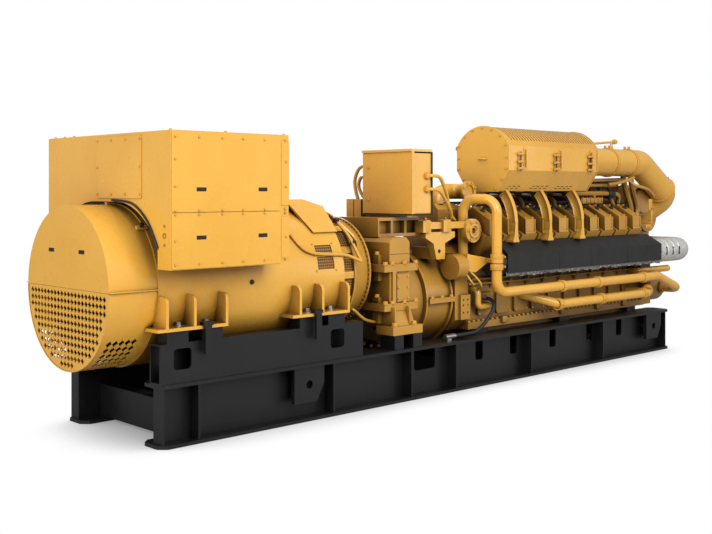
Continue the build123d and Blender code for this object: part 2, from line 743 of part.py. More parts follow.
# Terminal box covers
def box_covers():
    """Two bolted covers and two edge strips on each side, with recessed pull slots."""
    covers = []
    seam = BOX_BOTTOM + BOX_HEIGHT * BOX_SEAM_SHARE
    span_y = (-BOX_HALF_WIDTH, -BOX_HALF_WIDTH + COVER_THICK)
    cut_y = (span_y[0] - OVERRUN, span_y[1] + OVERRUN)
    edge = COVER_THICK
    span_x = (BOX_REAR + edge, BOX_FRONT - COVER_STRIP)
    for low, high in ((BOX_BOTTOM + edge, seam - SPLIT_GAP), (seam + SPLIT_GAP, BOX_TOP - edge)):
        length, height = span_x[1] - span_x[0], high - low
        middle = ((span_x[0] + span_x[1]) / 2, (low + high) / 2)
        cover = window_y(length, height, COVER_CORNER, span_y, *middle)
        for share in HANDLE_SHARES:
            x = span_x[0] + share * length
            z = seam + HANDLE_RISE if high > seam else seam - HANDLE_DROP
            slot = (HANDLE_LENGTH, HANDLE_HEIGHT, HANDLE_HEIGHT / 8)
            cover -= window_y(*slot, cut_y, x, z)
        covers += pair(cover)
        strip_x = (span_x[1] + SPLIT_GAP, BOX_FRONT)
        strip_z = (low + COVER_STRIP / 2, high - COVER_STRIP / 2)
        covers += pair(block(strip_x, span_y, strip_z))
    return covers


def end_cover():
    """Bolted cover on the rear face of the terminal box."""
    low = SHAFT_Z + FRAME_RADIUS + COVER_STRIP / 2
    middle = (0, END_COVER_SHIFT, low + END_COVER_HEIGHT / 2)
    face = Plane(origin=(BOX_REAR, middle[1], middle[2]), x_dir=(0, 1, 0), z_dir=(-1, 0, 0))
    outline = face * RectangleRounded(END_COVER_WIDTH, END_COVER_HEIGHT, COVER_CORNER)
    return extrude(outline, amount=COVER_THICK, dir=(-1, 0, 0))


write("terminal_box_covers", end_cover(), *box_covers())


# Rubber edging of the terminal box cut-out
def hood_seal():
    """Rubber edging along the arch on the rear face of the terminal box."""
    span_x = (BOX_REAR - SEAL_WIDTH, BOX_REAR)
    cut_x = (span_x[0] - OVERRUN, span_x[1] + OVERRUN)
    arch = saddle(span_x, SEAL_WIDTH) - saddle(cut_x, 0)
    reach = BOX_HALF_WIDTH
    return arch & block(cut_x, (-reach, reach), (SADDLE_SIDE, BOX_TOP))


write("hood_seal", hood_seal())


# Air outlet canopy
def canopy_solid(inset, reach):
    """Solid under the canopy, set in from its outside and carried on past its open edges."""
    top = SHAFT_Z + CANOPY_TOP - inset
    low = SHAFT_Z + CANOPY_LOW - reach
    low_half = sqrt(FRAME_RADIUS**2 - CANOPY_LOW**2) - inset
    section = [(-low_half, low), (-CANOPY_TOP_HALF, top), (CANOPY_TOP_HALF, top), (low_half, low)]
    knee = CANOPY_REAR + CANOPY_FLAT
    front = FRAME_FRONT - inset
    outline = [
        (CANOPY_REAR - reach, top),
        (knee, top),
        (front, top - CANOPY_FALL),
        (front, low),
        (CANOPY_REAR + CANOPY_FLAT * 0.6 - reach, low),
    ]
    body = prism_x(section, (CANOPY_REAR - reach, FRAME_FRONT))
    return body & prism_y(outline, (-FRAME_RADIUS, FRAME_RADIUS))


def outlet_canopy():
    """Cowl over the air outlet, open towards the terminal box and sloped down at the drive end."""
    cowl = canopy_solid(0, 0) - canopy_solid(CANOPY_THICK, OVERRUN)
    return cowl - rod_x(FRAME_RADIUS, (CANOPY_REAR - OVERRUN, FRAME_FRONT + OVERRUN), 0, SHAFT_Z)


write("outlet_canopy", outlet_canopy())


# Drive-end bell
def drive_end_bell():
    """Bell that narrows from the frame neck to the gearbox, with a rim at each end."""
    profile = [
        (BELL_REAR, 0),
        (BELL_REAR, NECK_RADIUS + BELL_RIM * 1.5),
        (BELL_REAR + BELL_RIM, NECK_RADIUS + BELL_RIM * 1.5),
        (BELL_REAR + BELL_RIM, BELL_RADIUS),
        (BELL_FRONT - BELL_RIM, BELL_END_RADIUS),
        (BELL_FRONT - BELL_RIM, BELL_END_RADIUS + BELL_RIM),
        (BELL_FRONT, BELL_END_RADIUS + BELL_RIM),
        (BELL_FRONT, 0),
    ]
    return turned_x(profile, 0, SHAFT_Z)


write("drive_end_bell", drive_end_bell())


# Gearbox
def gearbox_sides(case):
    """Side rib, bolted panel and rear bosses added to both sides of the case."""
    side = GEAR_HALF_WIDTH
    panel_z = (CRANK_Z + GEAR_CHAMFER, SHAFT_Z - GEAR_BAR_STEP)
    rib_x = (GEAR_REAR + GEAR_BAR_STEP, GEAR_REAR + GEAR_BAR_STEP * 3)
    extras = [block(rib_x, (-side - GEAR_BAR_STEP, -side), (CRANK_Z, SHAFT_Z + GEAR_SPLIT_RISE))]
    panel_x = (rib_x[1] + GEAR_BAR_STEP, GEAR_FRONT - GEAR_BAR_STEP)
    extras.append(block(panel_x, (-side - GEAR_BAR_STEP / 2, -side), panel_z))
    boss_x = (GEAR_REAR - GEAR_CHAMFER, GEAR_REAR)
    boss_y = (-GEAR_BOSS_OUT - GEAR_BOSS_WIDTH / 2, -GEAR_BOSS_OUT + GEAR_BOSS_WIDTH / 2)
    reach = GEAR_BOSS_WIDTH * 1.6
    for level in (SHAFT_Z + GEAR_SPLIT_RISE, CRANK_Z - GEAR_SPLIT_RISE):
        extras.append(block(boss_x, boss_y, (level - reach, level + reach)))
    for extra in extras:
        for shape in pair(extra):
            case += shape
    groove_z = SHAFT_Z + GEAR_TOP_RISE / 2
    groove = block(
        (GEAR_REAR - OVERRUN, GEAR_FRONT + OVERRUN),
        (-side - OVERRUN, -side + SPLIT_GAP * 2),
        (groove_z, groove_z + SPLIT_GAP * 2),
    )
    for shape in pair(groove):
        case -= shape
    return case


def gearbox_case():
    """Case with two bolted split flanges, splayed sides, foot plates and bearing covers."""
    middle = (GEAR_REAR + GEAR_FRONT) / 2
    foot_low = RAIL_HEIGHT + GEAR_POST_HEIGHT
    foot_top = foot_low + GEAR_FOOT_PLATE
    side = GEAR_HALF_WIDTH
    splay = side + GEAR_FOOT_SPREAD * 0.6
    right = [(-splay, foot_top), (-side, CRANK_Z), (-side, GEAR_TOP)]
    left = [(side, GEAR_TOP), (side, CRANK_Z), (splay, foot_top)]
    profile = right + left
    case = prism_x(profile, (GEAR_REAR, GEAR_FRONT))
    chamfer = GEAR_CHAMFER
    for edge, step in ((GEAR_REAR, 1), (GEAR_FRONT, -1)):
        wedge = [(edge, GEAR_TOP), (edge + step * chamfer, GEAR_TOP), (edge, GEAR_TOP - chamfer)]
        case -= prism_y(wedge, (-side - OVERRUN, side + OVERRUN))
    for level in (CRANK_Z, SHAFT_Z + GEAR_SPLIT_RISE):
        span_x = (middle - GEAR_BAR_LENGTH / 2, middle + GEAR_BAR_LENGTH / 2)
        span_y = (-side - GEAR_BAR_STEP, side + GEAR_BAR_STEP)
        case += block(span_x, span_y, (level - GEAR_BAR_HEIGHT / 2, level + GEAR_BAR_HEIGHT / 2))
    foot_x = (middle - GEAR_FOOT_LENGTH / 2, middle + GEAR_FOOT_LENGTH / 2)
    outer_y = -side - GEAR_FOOT_SPREAD
    foot = block(foot_x, (outer_y, outer_y + GEAR_FOOT_SPREAD * 2), (foot_low, foot_top))
    for shape in pair(foot):
        case += shape
    case = gearbox_sides(case)
    case += rod_x(GEAR_NECK, (GEAR_FRONT - OVERRUN, GUARD_REAR), 0, CRANK_Z)
    case += rod_x(GEAR_COVER_RADIUS, (GEAR_REAR - GEAR_CHAMFER, GEAR_REAR + OVERRUN), 0, CRANK_Z)
    return case + rod_x(GEAR_NECK, (BELL_FRONT, GEAR_REAR + OVERRUN), 0, SHAFT_Z)


write("gearbox_case", gearbox_case())


# Posts under the gearbox feet
def gearbox_posts():
    """Two posts on each base rail."""
    middle = (GEAR_REAR + GEAR_FRONT) / 2
    outer_y = -GEAR_HALF_WIDTH - GEAR_FOOT_SPREAD
    posts = []
    for share in (-0.45, 0.18):
        rear = middle + share * GEAR_FOOT_LENGTH
        span_x = (rear, rear + GEAR_FOOT_LENGTH * 0.3)
        span_y = (outer_y, outer_y + GEAR_FOOT_SPREAD * 1.6)
        posts += pair(block(span_x, span_y, (RAIL_HEIGHT, RAIL_HEIGHT + GEAR_POST_HEIGHT)))
    return posts


write("gearbox_posts", *gearbox_posts())


# Flywheel guard
def flywheel_guard():
    """Split round guard between the gearbox and the flywheel housing."""
    length = FLYWHEEL_REAR - GUARD_REAR
    profile = [(GUARD_REAR, 0), (GUARD_REAR, GUARD_RADIUS * 0.8)]
    for share in (0.42, 0.96):
        x = GUARD_REAR + share * length
        profile.append((x - GUARD_RIM, GUARD_RADIUS * (0.9 if share < 0.5 else 0.94)))
        profile.append((x - GUARD_RIM, GUARD_RADIUS))
        profile.append((x, GUARD_RADIUS))
        profile.append((x, GUARD_RADIUS * 0.94))
    profile += [(FLYWHEEL_REAR, GUARD_RADIUS * 0.94), (FLYWHEEL_REAR, 0)]
    guard = turned_x(profile, 0, CRANK_Z)
    span_x = (GUARD_REAR + length * 0.42, GUARD_REAR + length * 0.96)
    reach = GUARD_RADIUS + GUARD_RIM
    flange_z = (CRANK_Z - GUARD_RIM, CRANK_Z + GUARD_RIM)
    return guard + block(span_x, (-reach, reach), flange_z)


write("flywheel_guard", flywheel_guard())


# Flywheel housing
def flywheel_housing():
    """Eight-sided housing bolted to the rear of the block."""
    side = FLYWHEEL_HALF_WIDTH
    low, high = PAN_RAIL_BOTTOM, CRANK_Z + side
    corner = side * 0.45
    profile = [
        (-side + corner / 2, low),
        (-side, low + corner / 2),
        (-side, high - corner),
        (-side + corner, high),
        (side - corner, high),
        (side, high - corner),
        (side, low + corner / 2),
        (side - corner / 2, low),
    ]
    return prism_x(profile, (FLYWHEEL_REAR, ENGINE_REAR))


write("flywheel_housing", flywheel_housing())


# Rear side plates
def side_plates():
    """Plates with six bolt holes on both sides of the flywheel housing."""
    span_x = (ENGINE_REAR - FLYWHEEL_LENGTH * 0.72, ENGINE_REAR)
    near = -FLYWHEEL_HALF_WIDTH - SIDE_PLATE_THICK
    low = PAN_RAIL_BOTTOM + FLYWHEEL_HALF_WIDTH * 0.225
    plate_z = (low, CRANK_Z + SIDE_PLATE_THICK)
    plate = block(span_x, (near, near + SIDE_PLATE_THICK), plate_z)
    cut_y = (near - OVERRUN, near + SIDE_PLATE_THICK + OVERRUN)
    for across in (0.28, 0.74):
        for up in (0.28, 0.58, 0.80):
            x = span_x[0] + across * (span_x[1] - span_x[0])
            z = plate_z[0] + up * (plate_z[1] - plate_z[0])
            plate -= rod_y(SIDE_PLATE_THICK / 3, cut_y, x, z)
    return pair(plate)


write("rear_side_plates", *side_plates())


# Cylinder block
def cylinder_block():
    """V-shaped block from the pan rail to both decks."""
    deck_out = bank_point(HEAD_OUT, DECK_HEIGHT)
    deck_in = bank_point(-HEAD_IN, DECK_HEIGHT)
    right = [
        (-BLOCK_HALF_WIDTH, BLOCK_BOTTOM),
        (-BLOCK_HALF_WIDTH, CRANK_Z + BLOCK_BOTTOM_DROP / 2),
        deck_out,
        deck_in,
    ]
    left = [(-y, z) for y, z in reversed(right)]
    profile = right + [(0, CRANK_Z + VALLEY_RISE)] + left
    return prism_x(profile, (ENGINE_REAR, ENGINE_FRONT))


write("cylinder_block", cylinder_block())


# Oil pan
def oil_pan():
    """Pan with a wide rail that carries the block."""
    span_x = (ENGINE_REAR, ENGINE_FRONT)
    pan = block(span_x, (-PAN_RAIL_HALF, PAN_RAIL_HALF), (PAN_RAIL_BOTTOM, BLOCK_BOTTOM))
    slope = PAN_DEPTH / 3
    profile = [
        (-PAN_HALF_WIDTH + slope, PAN_RAIL_BOTTOM - PAN_DEPTH),
        (PAN_HALF_WIDTH - slope, PAN_RAIL_BOTTOM - PAN_DEPTH),
        (PAN_HALF_WIDTH, PAN_RAIL_BOTTOM - slope),
        (PAN_HALF_WIDTH, PAN_RAIL_BOTTOM),
        (-PAN_HALF_WIDTH, PAN_RAIL_BOTTOM),
        (-PAN_HALF_WIDTH, PAN_RAIL_BOTTOM - slope),
    ]
    return pan + prism_x(profile, (ENGINE_REAR + ENGINE_OVERHANG, ENGINE_FRONT - ENGINE_OVERHANG))


write("oil_pan", oil_pan())


# Engine feet
def engine_feet():
    """Blocks between the base rails and the pan rail."""
    feet = []
    inner = HALF_WIDTH - RAIL_FLANGE
    for share in ENGINE_FOOT_SHARES:
        rear = ENGINE_REAR + share * (ENGINE_LENGTH - ENGINE_FOOT_LENGTH)
        span_y = (-PAN_RAIL_HALF, -inner)
        span_z = (RAIL_HEIGHT, PAN_RAIL_BOTTOM)
        feet += pair(block((rear, rear + ENGINE_FOOT_LENGTH), span_y, span_z))
    return feet


write("engine_feet", *engine_feet())


# Crankcase doors
def crankcase_doors():
    """One bolted door per cylinder on each side of the block."""
    doors = []
    low = BLOCK_BOTTOM + DOOR_THICK * 2
    span_y = (-BLOCK_HALF_WIDTH - DOOR_THICK, -BLOCK_HALF_WIDTH)
    for cylinder in range(CYLINDERS):
        x = FIRST_CYLINDER + cylinder * CYLINDER_PITCH
        door = window_y(DOOR_LENGTH, DOOR_HEIGHT, DOOR_THICK, span_y, x, low + DOOR_HEIGHT / 2)
        doors += pair(door)
    return doors


write("crankcase_doors", *crankcase_doors())


# Cylinder heads and valve covers
def head_profile():
    """Outline of a head on the right deck."""
    low, high = DECK_HEIGHT, DECK_HEIGHT + HEAD_HEIGHT
    corners = ((HEAD_OUT, low), (HEAD_OUT, high), (-HEAD_IN, high), (-HEAD_IN, low))
    return [bank_point(out, up) for out, up in corners]


def right_heads():
    """One head per cylinder on the right deck."""
    heads = []
    for cylinder in range(CYLINDERS):
        x = FIRST_CYLINDER + cylinder * CYLINDER_PITCH
        heads.append(prism_x(head_profile(), (x - HEAD_LENGTH / 2, x + HEAD_LENGTH / 2)))
    return heads


def right_covers():
    """One upright-faced cover on each head of the right bank."""
    low = DECK_HEIGHT + HEAD_HEIGHT
    high = low + COVER_HEIGHT
    tilt = radians(BANK_ANGLE)
    lean = COVER_HEIGHT * sin(tilt) / cos(tilt)
    inner = -HEAD_IN + lean / 2
    corners = ((HEAD_OUT, low), (HEAD_OUT - lean, high), (inner, high), (inner, low))
    profile = [bank_point(out, up) for out, up in corners]
    covers = []
    for cylinder in range(CYLINDERS):
        x = FIRST_CYLINDER + cylinder * CYLINDER_PITCH
        covers.append(prism_x(profile, (x - COVER_LENGTH / 2, x + COVER_LENGTH / 2)))
    return covers


write("cylinder_heads", *[side for head in right_heads() for side in pair(head)])
write("valve_covers", *[side for cover in right_covers() for side in pair(cover)])


# Exhaust manifolds
def exhaust_manifold():
    """Wrapped pipe along the right bank with a port to each head."""
    rear = FIRST_CYLINDER - HEAD_LENGTH / 4
    manifold = rod_x(MANIFOLD_RADIUS, (rear, SHIELD_FRONT), -MANIFOLD_OUT, MANIFOLD_Z)
    middle = DECK_HEIGHT + HEAD_HEIGHT / 6
    half = HEAD_HEIGHT / 10
    reach = HEAD_OUT + MANIFOLD_RADIUS / 2
    low, high = middle - half, middle + half
    corners = ((HEAD_OUT, low), (HEAD_OUT, high), (reach, high), (reach, low))
    profile = [bank_point(out, up) for out, up in corners]
    for cylinder in range(CYLINDERS):
        x = FIRST_CYLINDER + cylinder * CYLINDER_PITCH
        manifold += prism_x(profile, (x - HEAD_LENGTH / 4, x + HEAD_LENGTH / 4))
    return manifold


write("exhaust_manifolds", *pair(exhaust_manifold()))


# Exhaust shields
def exhaust_shield():
    """Folded plate in front of the right manifold with a chamfered front end, open below."""
    side_low = MANIFOLD_Z - SHIELD_SIDE / 2 - SHIELD_THICK
    side_high = side_low + SHIELD_SIDE
    ridge_y = -SHIELD_OUT + SHIELD_SLOPE_IN
    ridge_z = side_high + SHIELD_SLOPE_RISE
    outer = [(-SHIELD_OUT, side_low), (-SHIELD_OUT, side_high), (ridge_y, ridge_z)]
    inner = [
        (ridge_y, ridge_z - SHIELD_THICK * 1.4),
        (-SHIELD_OUT + SHIELD_THICK, side_high - SHIELD_THICK * 0.4),
        (-SHIELD_OUT + SHIELD_THICK, side_low),
    ]
    shield = prism_x(outer + inner, (SHIELD_REAR, SHIELD_FRONT))
    half = SHIELD_THICK * 3
    for cylinder in range(1, CYLINDERS, 2):
        x = FIRST_CYLINDER + cylinder * CYLINDER_PITCH
        span_z = (MANIFOLD_Z - half, MANIFOLD_Z + half)
        shield += block((x - half, x + half), (-SHIELD_OUT + SHIELD_THICK / 2, -MANIFOLD_OUT), span_z)
    span_x = (SHIELD_REAR - OVERRUN, SHIELD_FRONT + OVERRUN)
    shield -= rod_x(MANIFOLD_RADIUS, span_x, -MANIFOLD_OUT, MANIFOLD_Z)
    cut = [
        (SHIELD_FRONT + OVERRUN, side_high),
        (SHIELD_FRONT, side_high),
        (SHIELD_FRONT - SHIELD_CHAMFER, ridge_z + OVERRUN),
        (SHIELD_FRONT + OVERRUN, ridge_z + OVERRUN),
    ]
    return shield - prism_y(cut, (-SHIELD_OUT - OVERRUN, 0))


write("exhaust_shields", *pair(exhaust_shield()))


# Bellows and elbows at the front of the manifolds
def exhaust_bellows():
    """Ribbed sleeve and inward elbow on the right manifold."""
    rear, front = SHIELD_FRONT, SHIELD_FRONT + BELLOWS_LENGTH
    profile = [(rear, 0), (rear, BELLOWS_RADIUS)]
    step = BELLOWS_LENGTH / (BELLOWS_RINGS + 1)
    for ring in range(BELLOWS_RINGS):
        x = rear + (ring + 1) * step
        profile.append((x - BELLOWS_RIB * 2, BELLOWS_RADIUS))
        profile.append((x - BELLOWS_RIB, BELLOWS_RADIUS - BELLOWS_RIB))
        profile.append((x + BELLOWS_RIB, BELLOWS_RADIUS - BELLOWS_RIB))
        profile.append((x + BELLOWS_RIB * 2, BELLOWS_RADIUS))
    profile += [(front, BELLOWS_RADIUS), (front, 0)]
    sleeve = turned_x(profile, -MANIFOLD_OUT, MANIFOLD_Z)
    corner = (TURBO_STATION, -MANIFOLD_OUT, MANIFOLD_Z)
    route = [(front, -MANIFOLD_OUT, MANIFOLD_Z), corner, (TURBO_STATION, -TURBO_RADIUS, MANIFOLD_Z)]
    return sleeve + pipe(route, BELLOWS_RADIUS, ELBOW_BEND)


write("exhaust_bellows", *pair(exhaust_bellows()))


# Front housing, damper guard and pumps
def front_housing():
    """Gear housing on the front of the block with a round damper guard."""
    side = FRONT_HALF_WIDTH
    high = CRANK_Z + VALLEY_RISE * 1.35
    profile = [
        (-side, PAN_RAIL_BOTTOM),
        (side, PAN_RAIL_BOTTOM),
        (side, CRANK_Z + VALLEY_RISE / 2),
        (side / 2, high),
        (-side / 2, high),
        (-side, CRANK_Z + VALLEY_RISE / 2),
    ]
    housing = prism_x(profile, (ENGINE_FRONT, FRONT_END))
    return housing + rod_x(DAMPER_RADIUS, (FRONT_END - OVERRUN, FRONT_END + FRONT_LENGTH / 2), 0, CRANK_Z)


write("front_housing", front_housing())


def water_pump():
    """Round pump body on the front housing with a side inlet for the right coolant pipe."""
    middle = FRONT_END + FRONT_LENGTH
    body = rod_x(PUMP_RADIUS, (FRONT_END, middle + PUMP_RADIUS / 2), -PUMP_OUT, LOWER_PIPE_Z)
    neck = (-FRONT_HALF_WIDTH - PUMP_RADIUS / 4, -PUMP_OUT)
    return body + rod_y(PIPE_RADIUS * 1.4, neck, middle, LOWER_PIPE_Z)


write("water_pumps", *pair(water_pump()))


# Turbocharger and its bracket
def compressor():
    """Round compressor body that the air elbow runs into."""
    span_y = (-TURBO_RADIUS / 2, TURBO_RADIUS)
    return rod_y(TURBO_RADIUS * 1.05, span_y, TURBO_STATION, MANIFOLD_Z + TURBO_RISE)


def turbocharger():
    """Exhaust collector across both elbows with the compressor above it."""
    body = rod_y(BELLOWS_RADIUS, (-TURBO_RADIUS, TURBO_RADIUS), TURBO_STATION, MANIFOLD_Z)
    span_z = (MANIFOLD_Z, MANIFOLD_Z + TURBO_RISE)
    body += rod_z(TURBO_RADIUS * 0.7, span_z, TURBO_STATION, TURBO_RADIUS / 4)
    return body + compressor()


write("turbocharger", turbocharger())


def turbo_bracket():
    """Shelf from the front housing under the collector."""
    low = MANIFOLD_Z - BELLOWS_RADIUS
    thick = SIDE_PLATE_THICK
    span_y = (-TURBO_RADIUS, TURBO_RADIUS)
    shelf = block((FRONT_END, TURBO_STATION + TURBO_RADIUS / 2), span_y, (low - thick, low))
    gusset = [(FRONT_END, low), (FRONT_END, low - TURBO_RADIUS), (TURBO_STATION, low)]
    for plate_y in ((-TURBO_RADIUS, -TURBO_RADIUS + thick), (TURBO_RADIUS - thick, TURBO_RADIUS)):
        shelf += prism_y(gusset, plate_y)
    return shelf


write("turbo_bracket", turbo_bracket())


# Air cleaner
def cleaner_outline(grow):
    """Outline of the air cleaner below its arched lid, grown by a margin."""
    wide, foot = CLEANER_HALF_WIDTH + grow, CLEANER_FOOT_HALF + grow / 2
    return [
        (CLEANER_SHIFT - foot, CLEANER_BOTTOM - grow),
        (CLEANER_SHIFT + foot, CLEANER_BOTTOM - grow),
        (CLEANER_SHIFT + wide, CLEANER_SIDE_BOTTOM),
        (CLEANER_SHIFT + wide, CLEANER_SIDE_TOP),
        (CLEANER_SHIFT - wide, CLEANER_SIDE_TOP),
        (CLEANER_SHIFT - wide, CLEANER_SIDE_BOTTOM),
    ]


def cleaner_arch(x, grow):
    """Arched solid on top of the air cleaner sides."""
    wide = CLEANER_HALF_WIDTH + grow
    left = (x[0], CLEANER_SHIFT - wide, CLEANER_SIDE_TOP)
    crown = (x[0], CLEANER_SHIFT, CLEANER_SIDE_TOP + CLEANER_ARCH + grow)
    right = (x[0], CLEANER_SHIFT + wide, CLEANER_SIDE_TOP)
    face = make_face([ThreePointArc(left, crown, right), Line(right, left)])
    return extrude(face, amount=x[1] - x[0], dir=(1, 0, 0))


def cleaner_body():
    """Trough with chamfered lower sides and two rows of vents above the bottom edge."""
    body = prism_x(cleaner_outline(0), (CLEANER_REAR, CLEANER_FRONT))
    vents = []
    lean = (CLEANER_HALF_WIDTH - CLEANER_FOOT_HALF) / CLEANER_CHAMFER
    for row in (1, 2):
        z = CLEANER_BOTTOM + row * VENT_HEIGHT * 2.5
        wide = CLEANER_FOOT_HALF + (z - CLEANER_BOTTOM) * lean
        for share in VENT_SHARES:
            x = CLEANER_REAR + CLEANER_LENGTH * share + row * VENT_LENGTH / 2
            for side in (-1, 1):
                y = CLEANER_SHIFT + side * wide
                span_y = (y - VENT_HEIGHT, y + VENT_HEIGHT)
                vents.append(block((x, x + VENT_LENGTH), span_y, (z, z + VENT_HEIGHT)))
    return body - vents


def cleaner_lid():
    """Arched lid with slanted louvre grooves."""
    span_x = (CLEANER_REAR, CLEANER_FRONT)
    lid = cleaner_arch(span_x, 0)
    skin = lid - cleaner_arch((span_x[0] - OVERRUN, span_x[1] + OVERRUN), -LOUVRE_DEPTH)
    pitch = CLEANER_LENGTH / (LOUVRES + 1)
    reach = CLEANER_HALF_WIDTH - LOUVRE_WIDTH
    slabs = []
    for side in (-1, 1):
        for louvre in range(1, LOUVRES):
            x = CLEANER_REAR + louvre * pitch
            slab = Box(LOUVRE_WIDTH, reach * 0.86, CLEANER_ARCH * 2)
            middle = Pos(x + pitch / 2, CLEANER_SHIFT + side * reach / 2, CLEANER_SIDE_TOP + CLEANER_ARCH)
            slabs.append(middle * Rot(0, 0, -side * LOUVRE_ANGLE / 4) * slab & skin)
    return lid - slabs


write("air_cleaner_body", cleaner_body())
write("air_cleaner_lid", cleaner_lid())


def cleaner_caps():
    """End plates that stand a little proud of the trough and lid."""
    caps = []
    rear_x = (CLEANER_REAR - CLEANER_CAP, CLEANER_REAR)
    front_x = (CLEANER_FRONT, CLEANER_FRONT + CLEANER_CAP)
    for span_x in (rear_x, front_x):
        cap = prism_x(cleaner_outline(CLEANER_CAP / 2), span_x)
        caps.append(cap + cleaner_arch(span_x, CLEANER_CAP / 2))
    return caps


write("air_cleaner_caps", *cleaner_caps())


def cleaner_latches():
    """Three toggle latches on each side of the air cleaner."""
    latches = []
    low = CLEANER_SIDE_BOTTOM + LATCH_THICK / 2
    for share in LATCH_SHARES:
        x = CLEANER_REAR + share * CLEANER_LENGTH
        plate_x = (x - LATCH_LENGTH / 2, x + LATCH_LENGTH / 2)
        lever_x = (x - LATCH_LENGTH / 5, x + LATCH_LENGTH / 5)
        for step in (-1, 1):
            face = CLEANER_SHIFT + step * CLEANER_HALF_WIDTH
            plate_y = sorted((face, face + step * LATCH_THICK / 4))
            lever_y = sorted((face, face + step * LATCH_THICK))
            latch = block(plate_x, plate_y, (low, low + LATCH_HEIGHT * 0.4))
            latch += block(plate_x, plate_y, (low + LATCH_HEIGHT * 0.7, low + LATCH_HEIGHT))
            latch += block(lever_x, lever_y, (low + LATCH_HEIGHT * 0.1, low + LATCH_HEIGHT * 0.9))
            latches.append(latch)
    return latches


write("air_cleaner_latches", *cleaner_latches())


# Straps under the air cleaner
def support_straps():
    """Bowed box straps from the head sides up to the air cleaner."""
    top_y = CLEANER_SHIFT - CLEANER_FOOT_HALF
    base_z = bank_point(HEAD_OUT, DECK_HEIGHT + HEAD_HEIGHT)[1]
    rise = CLEANER_BOTTOM - base_z
    outer_y, inner_y = -STRAP_OUT, -STRAP_OUT + STRAP_THICK
    foot_z = (base_z - STRAP_THICK, base_z - STRAP_THICK / 6)
    profile = [
        (outer_y, foot_z[0]),
        (outer_y, base_z + rise * 0.45),
        (outer_y + STRAP_THICK / 2, base_z + rise * 0.72),
        (top_y, CLEANER_BOTTOM),
        (top_y + STRAP_THICK, CLEANER_BOTTOM),
        (inner_y + STRAP_THICK / 2, base_z + rise * 0.66),
        (inner_y, base_z + rise * 0.42),
        (inner_y, foot_z[1]),
        (inner_y + STRAP_THICK, foot_z[1]),
        (inner_y + STRAP_THICK, foot_z[0]),
    ]
    straps = []
    for cylinder in STRAP_CYLINDERS:
        x = FIRST_CYLINDER + cylinder * CYLINDER_PITCH - STRAP_SHIFT
        strap = prism_x(profile, (x - STRAP_WIDTH / 2, x + STRAP_WIDTH / 2))
        straps.append(strap - prism_x(head_profile(), (x - STRAP_WIDTH, x + STRAP_WIDTH)))
    return straps


write("air_cleaner_straps", *support_straps())


# Inlet plenum in the valley
def inlet_plenum():
    """Long casting between the banks."""
    low = CRANK_Z + VALLEY_RISE
    rise = (HEAD_IN + PLENUM_HALF) / 3
    profile = [
        (0, low),
        (PLENUM_HALF, low + rise),
        (PLENUM_HALF, low + PLENUM_HEIGHT),
        (-PLENUM_HALF, low + PLENUM_HEIGHT),
        (-PLENUM_HALF, low + rise),
    ]
    valley = cylinder_block()
    return prism_x(profile, (COOLER_FRONT, ENGINE_FRONT)) - valley


write("inlet_plenum", inlet_plenum())


# Air duct, bands and elbow
def air_duct():
    """Round duct from the air cleaner forward."""
    return rod_x(DUCT_RADIUS, (CLEANER_FRONT + CLEANER_CAP, DUCT_FRONT), CLEANER_SHIFT, DUCT_Z)


def duct_bands():
    """Clamp bands around the duct."""
    bands = []
    for share in DUCT_BAND_SHARES:
        x = CLEANER_FRONT + share * DUCT_LENGTH
        span_x = (x - DUCT_BAND_WIDTH / 2, x + DUCT_BAND_WIDTH / 2)
        band = rod_x(DUCT_RADIUS + DUCT_BAND, span_x, CLEANER_SHIFT, DUCT_Z)
        cut_x = (span_x[0] - OVERRUN, span_x[1] + OVERRUN)
        bands.append(band - rod_x(DUCT_RADIUS, cut_x, CLEANER_SHIFT, DUCT_Z))
    return bands


def air_elbow():
    """Elbow from the straight run down and inwards to the compressor."""
    corner = DUCT_FRONT + ELBOW_LEAD
    route = [
        (DUCT_FRONT, CLEANER_SHIFT, DUCT_Z),
        (corner, CLEANER_SHIFT, DUCT_Z),
        (corner + ELBOW_RUN, CLEANER_SHIFT, DUCT_Z - ELBOW_FALL),
        (TURBO_STATION, TURBO_RADIUS / 4, MANIFOLD_Z + TURBO_RISE),
    ]
    return pipe(route, DUCT_RADIUS, DUCT_RADIUS * 1.15) - compressor()


write("air_duct", air_duct())
write("duct_bands", *duct_bands())
write("air_elbow", air_elbow())


# Coolant pipes
def upper_coolant_pipe():
    """Loop from the block deck, riser, long run and front drop on the right side."""
    rear = ENGINE_REAR + PIPE_RADIUS
    inner = BLOCK_HALF_WIDTH - PIPE_RADIUS
    route = [
        (rear, -inner, CRANK_Z + VALLEY_RISE - PIPE_RADIUS),
        (rear, -inner, RISER_TOP),
        (RISER_STATION, -PIPE_OUT, RISER_TOP),
        (RISER_STATION, -PIPE_OUT, UPPER_PIPE_Z),
        (UPPER_PIPE_END, -PIPE_OUT, UPPER_PIPE_Z),
        (FRONT_END + FRONT_LENGTH, -PIPE_OUT, LOWER_PIPE_Z),
        (FRONT_END + FRONT_LENGTH, -FRONT_HALF_WIDTH - PUMP_RADIUS / 4, LOWER_PIPE_Z),
    ]
    return pipe(route, PIPE_RADIUS, PIPE_BEND) - cylinder_block()


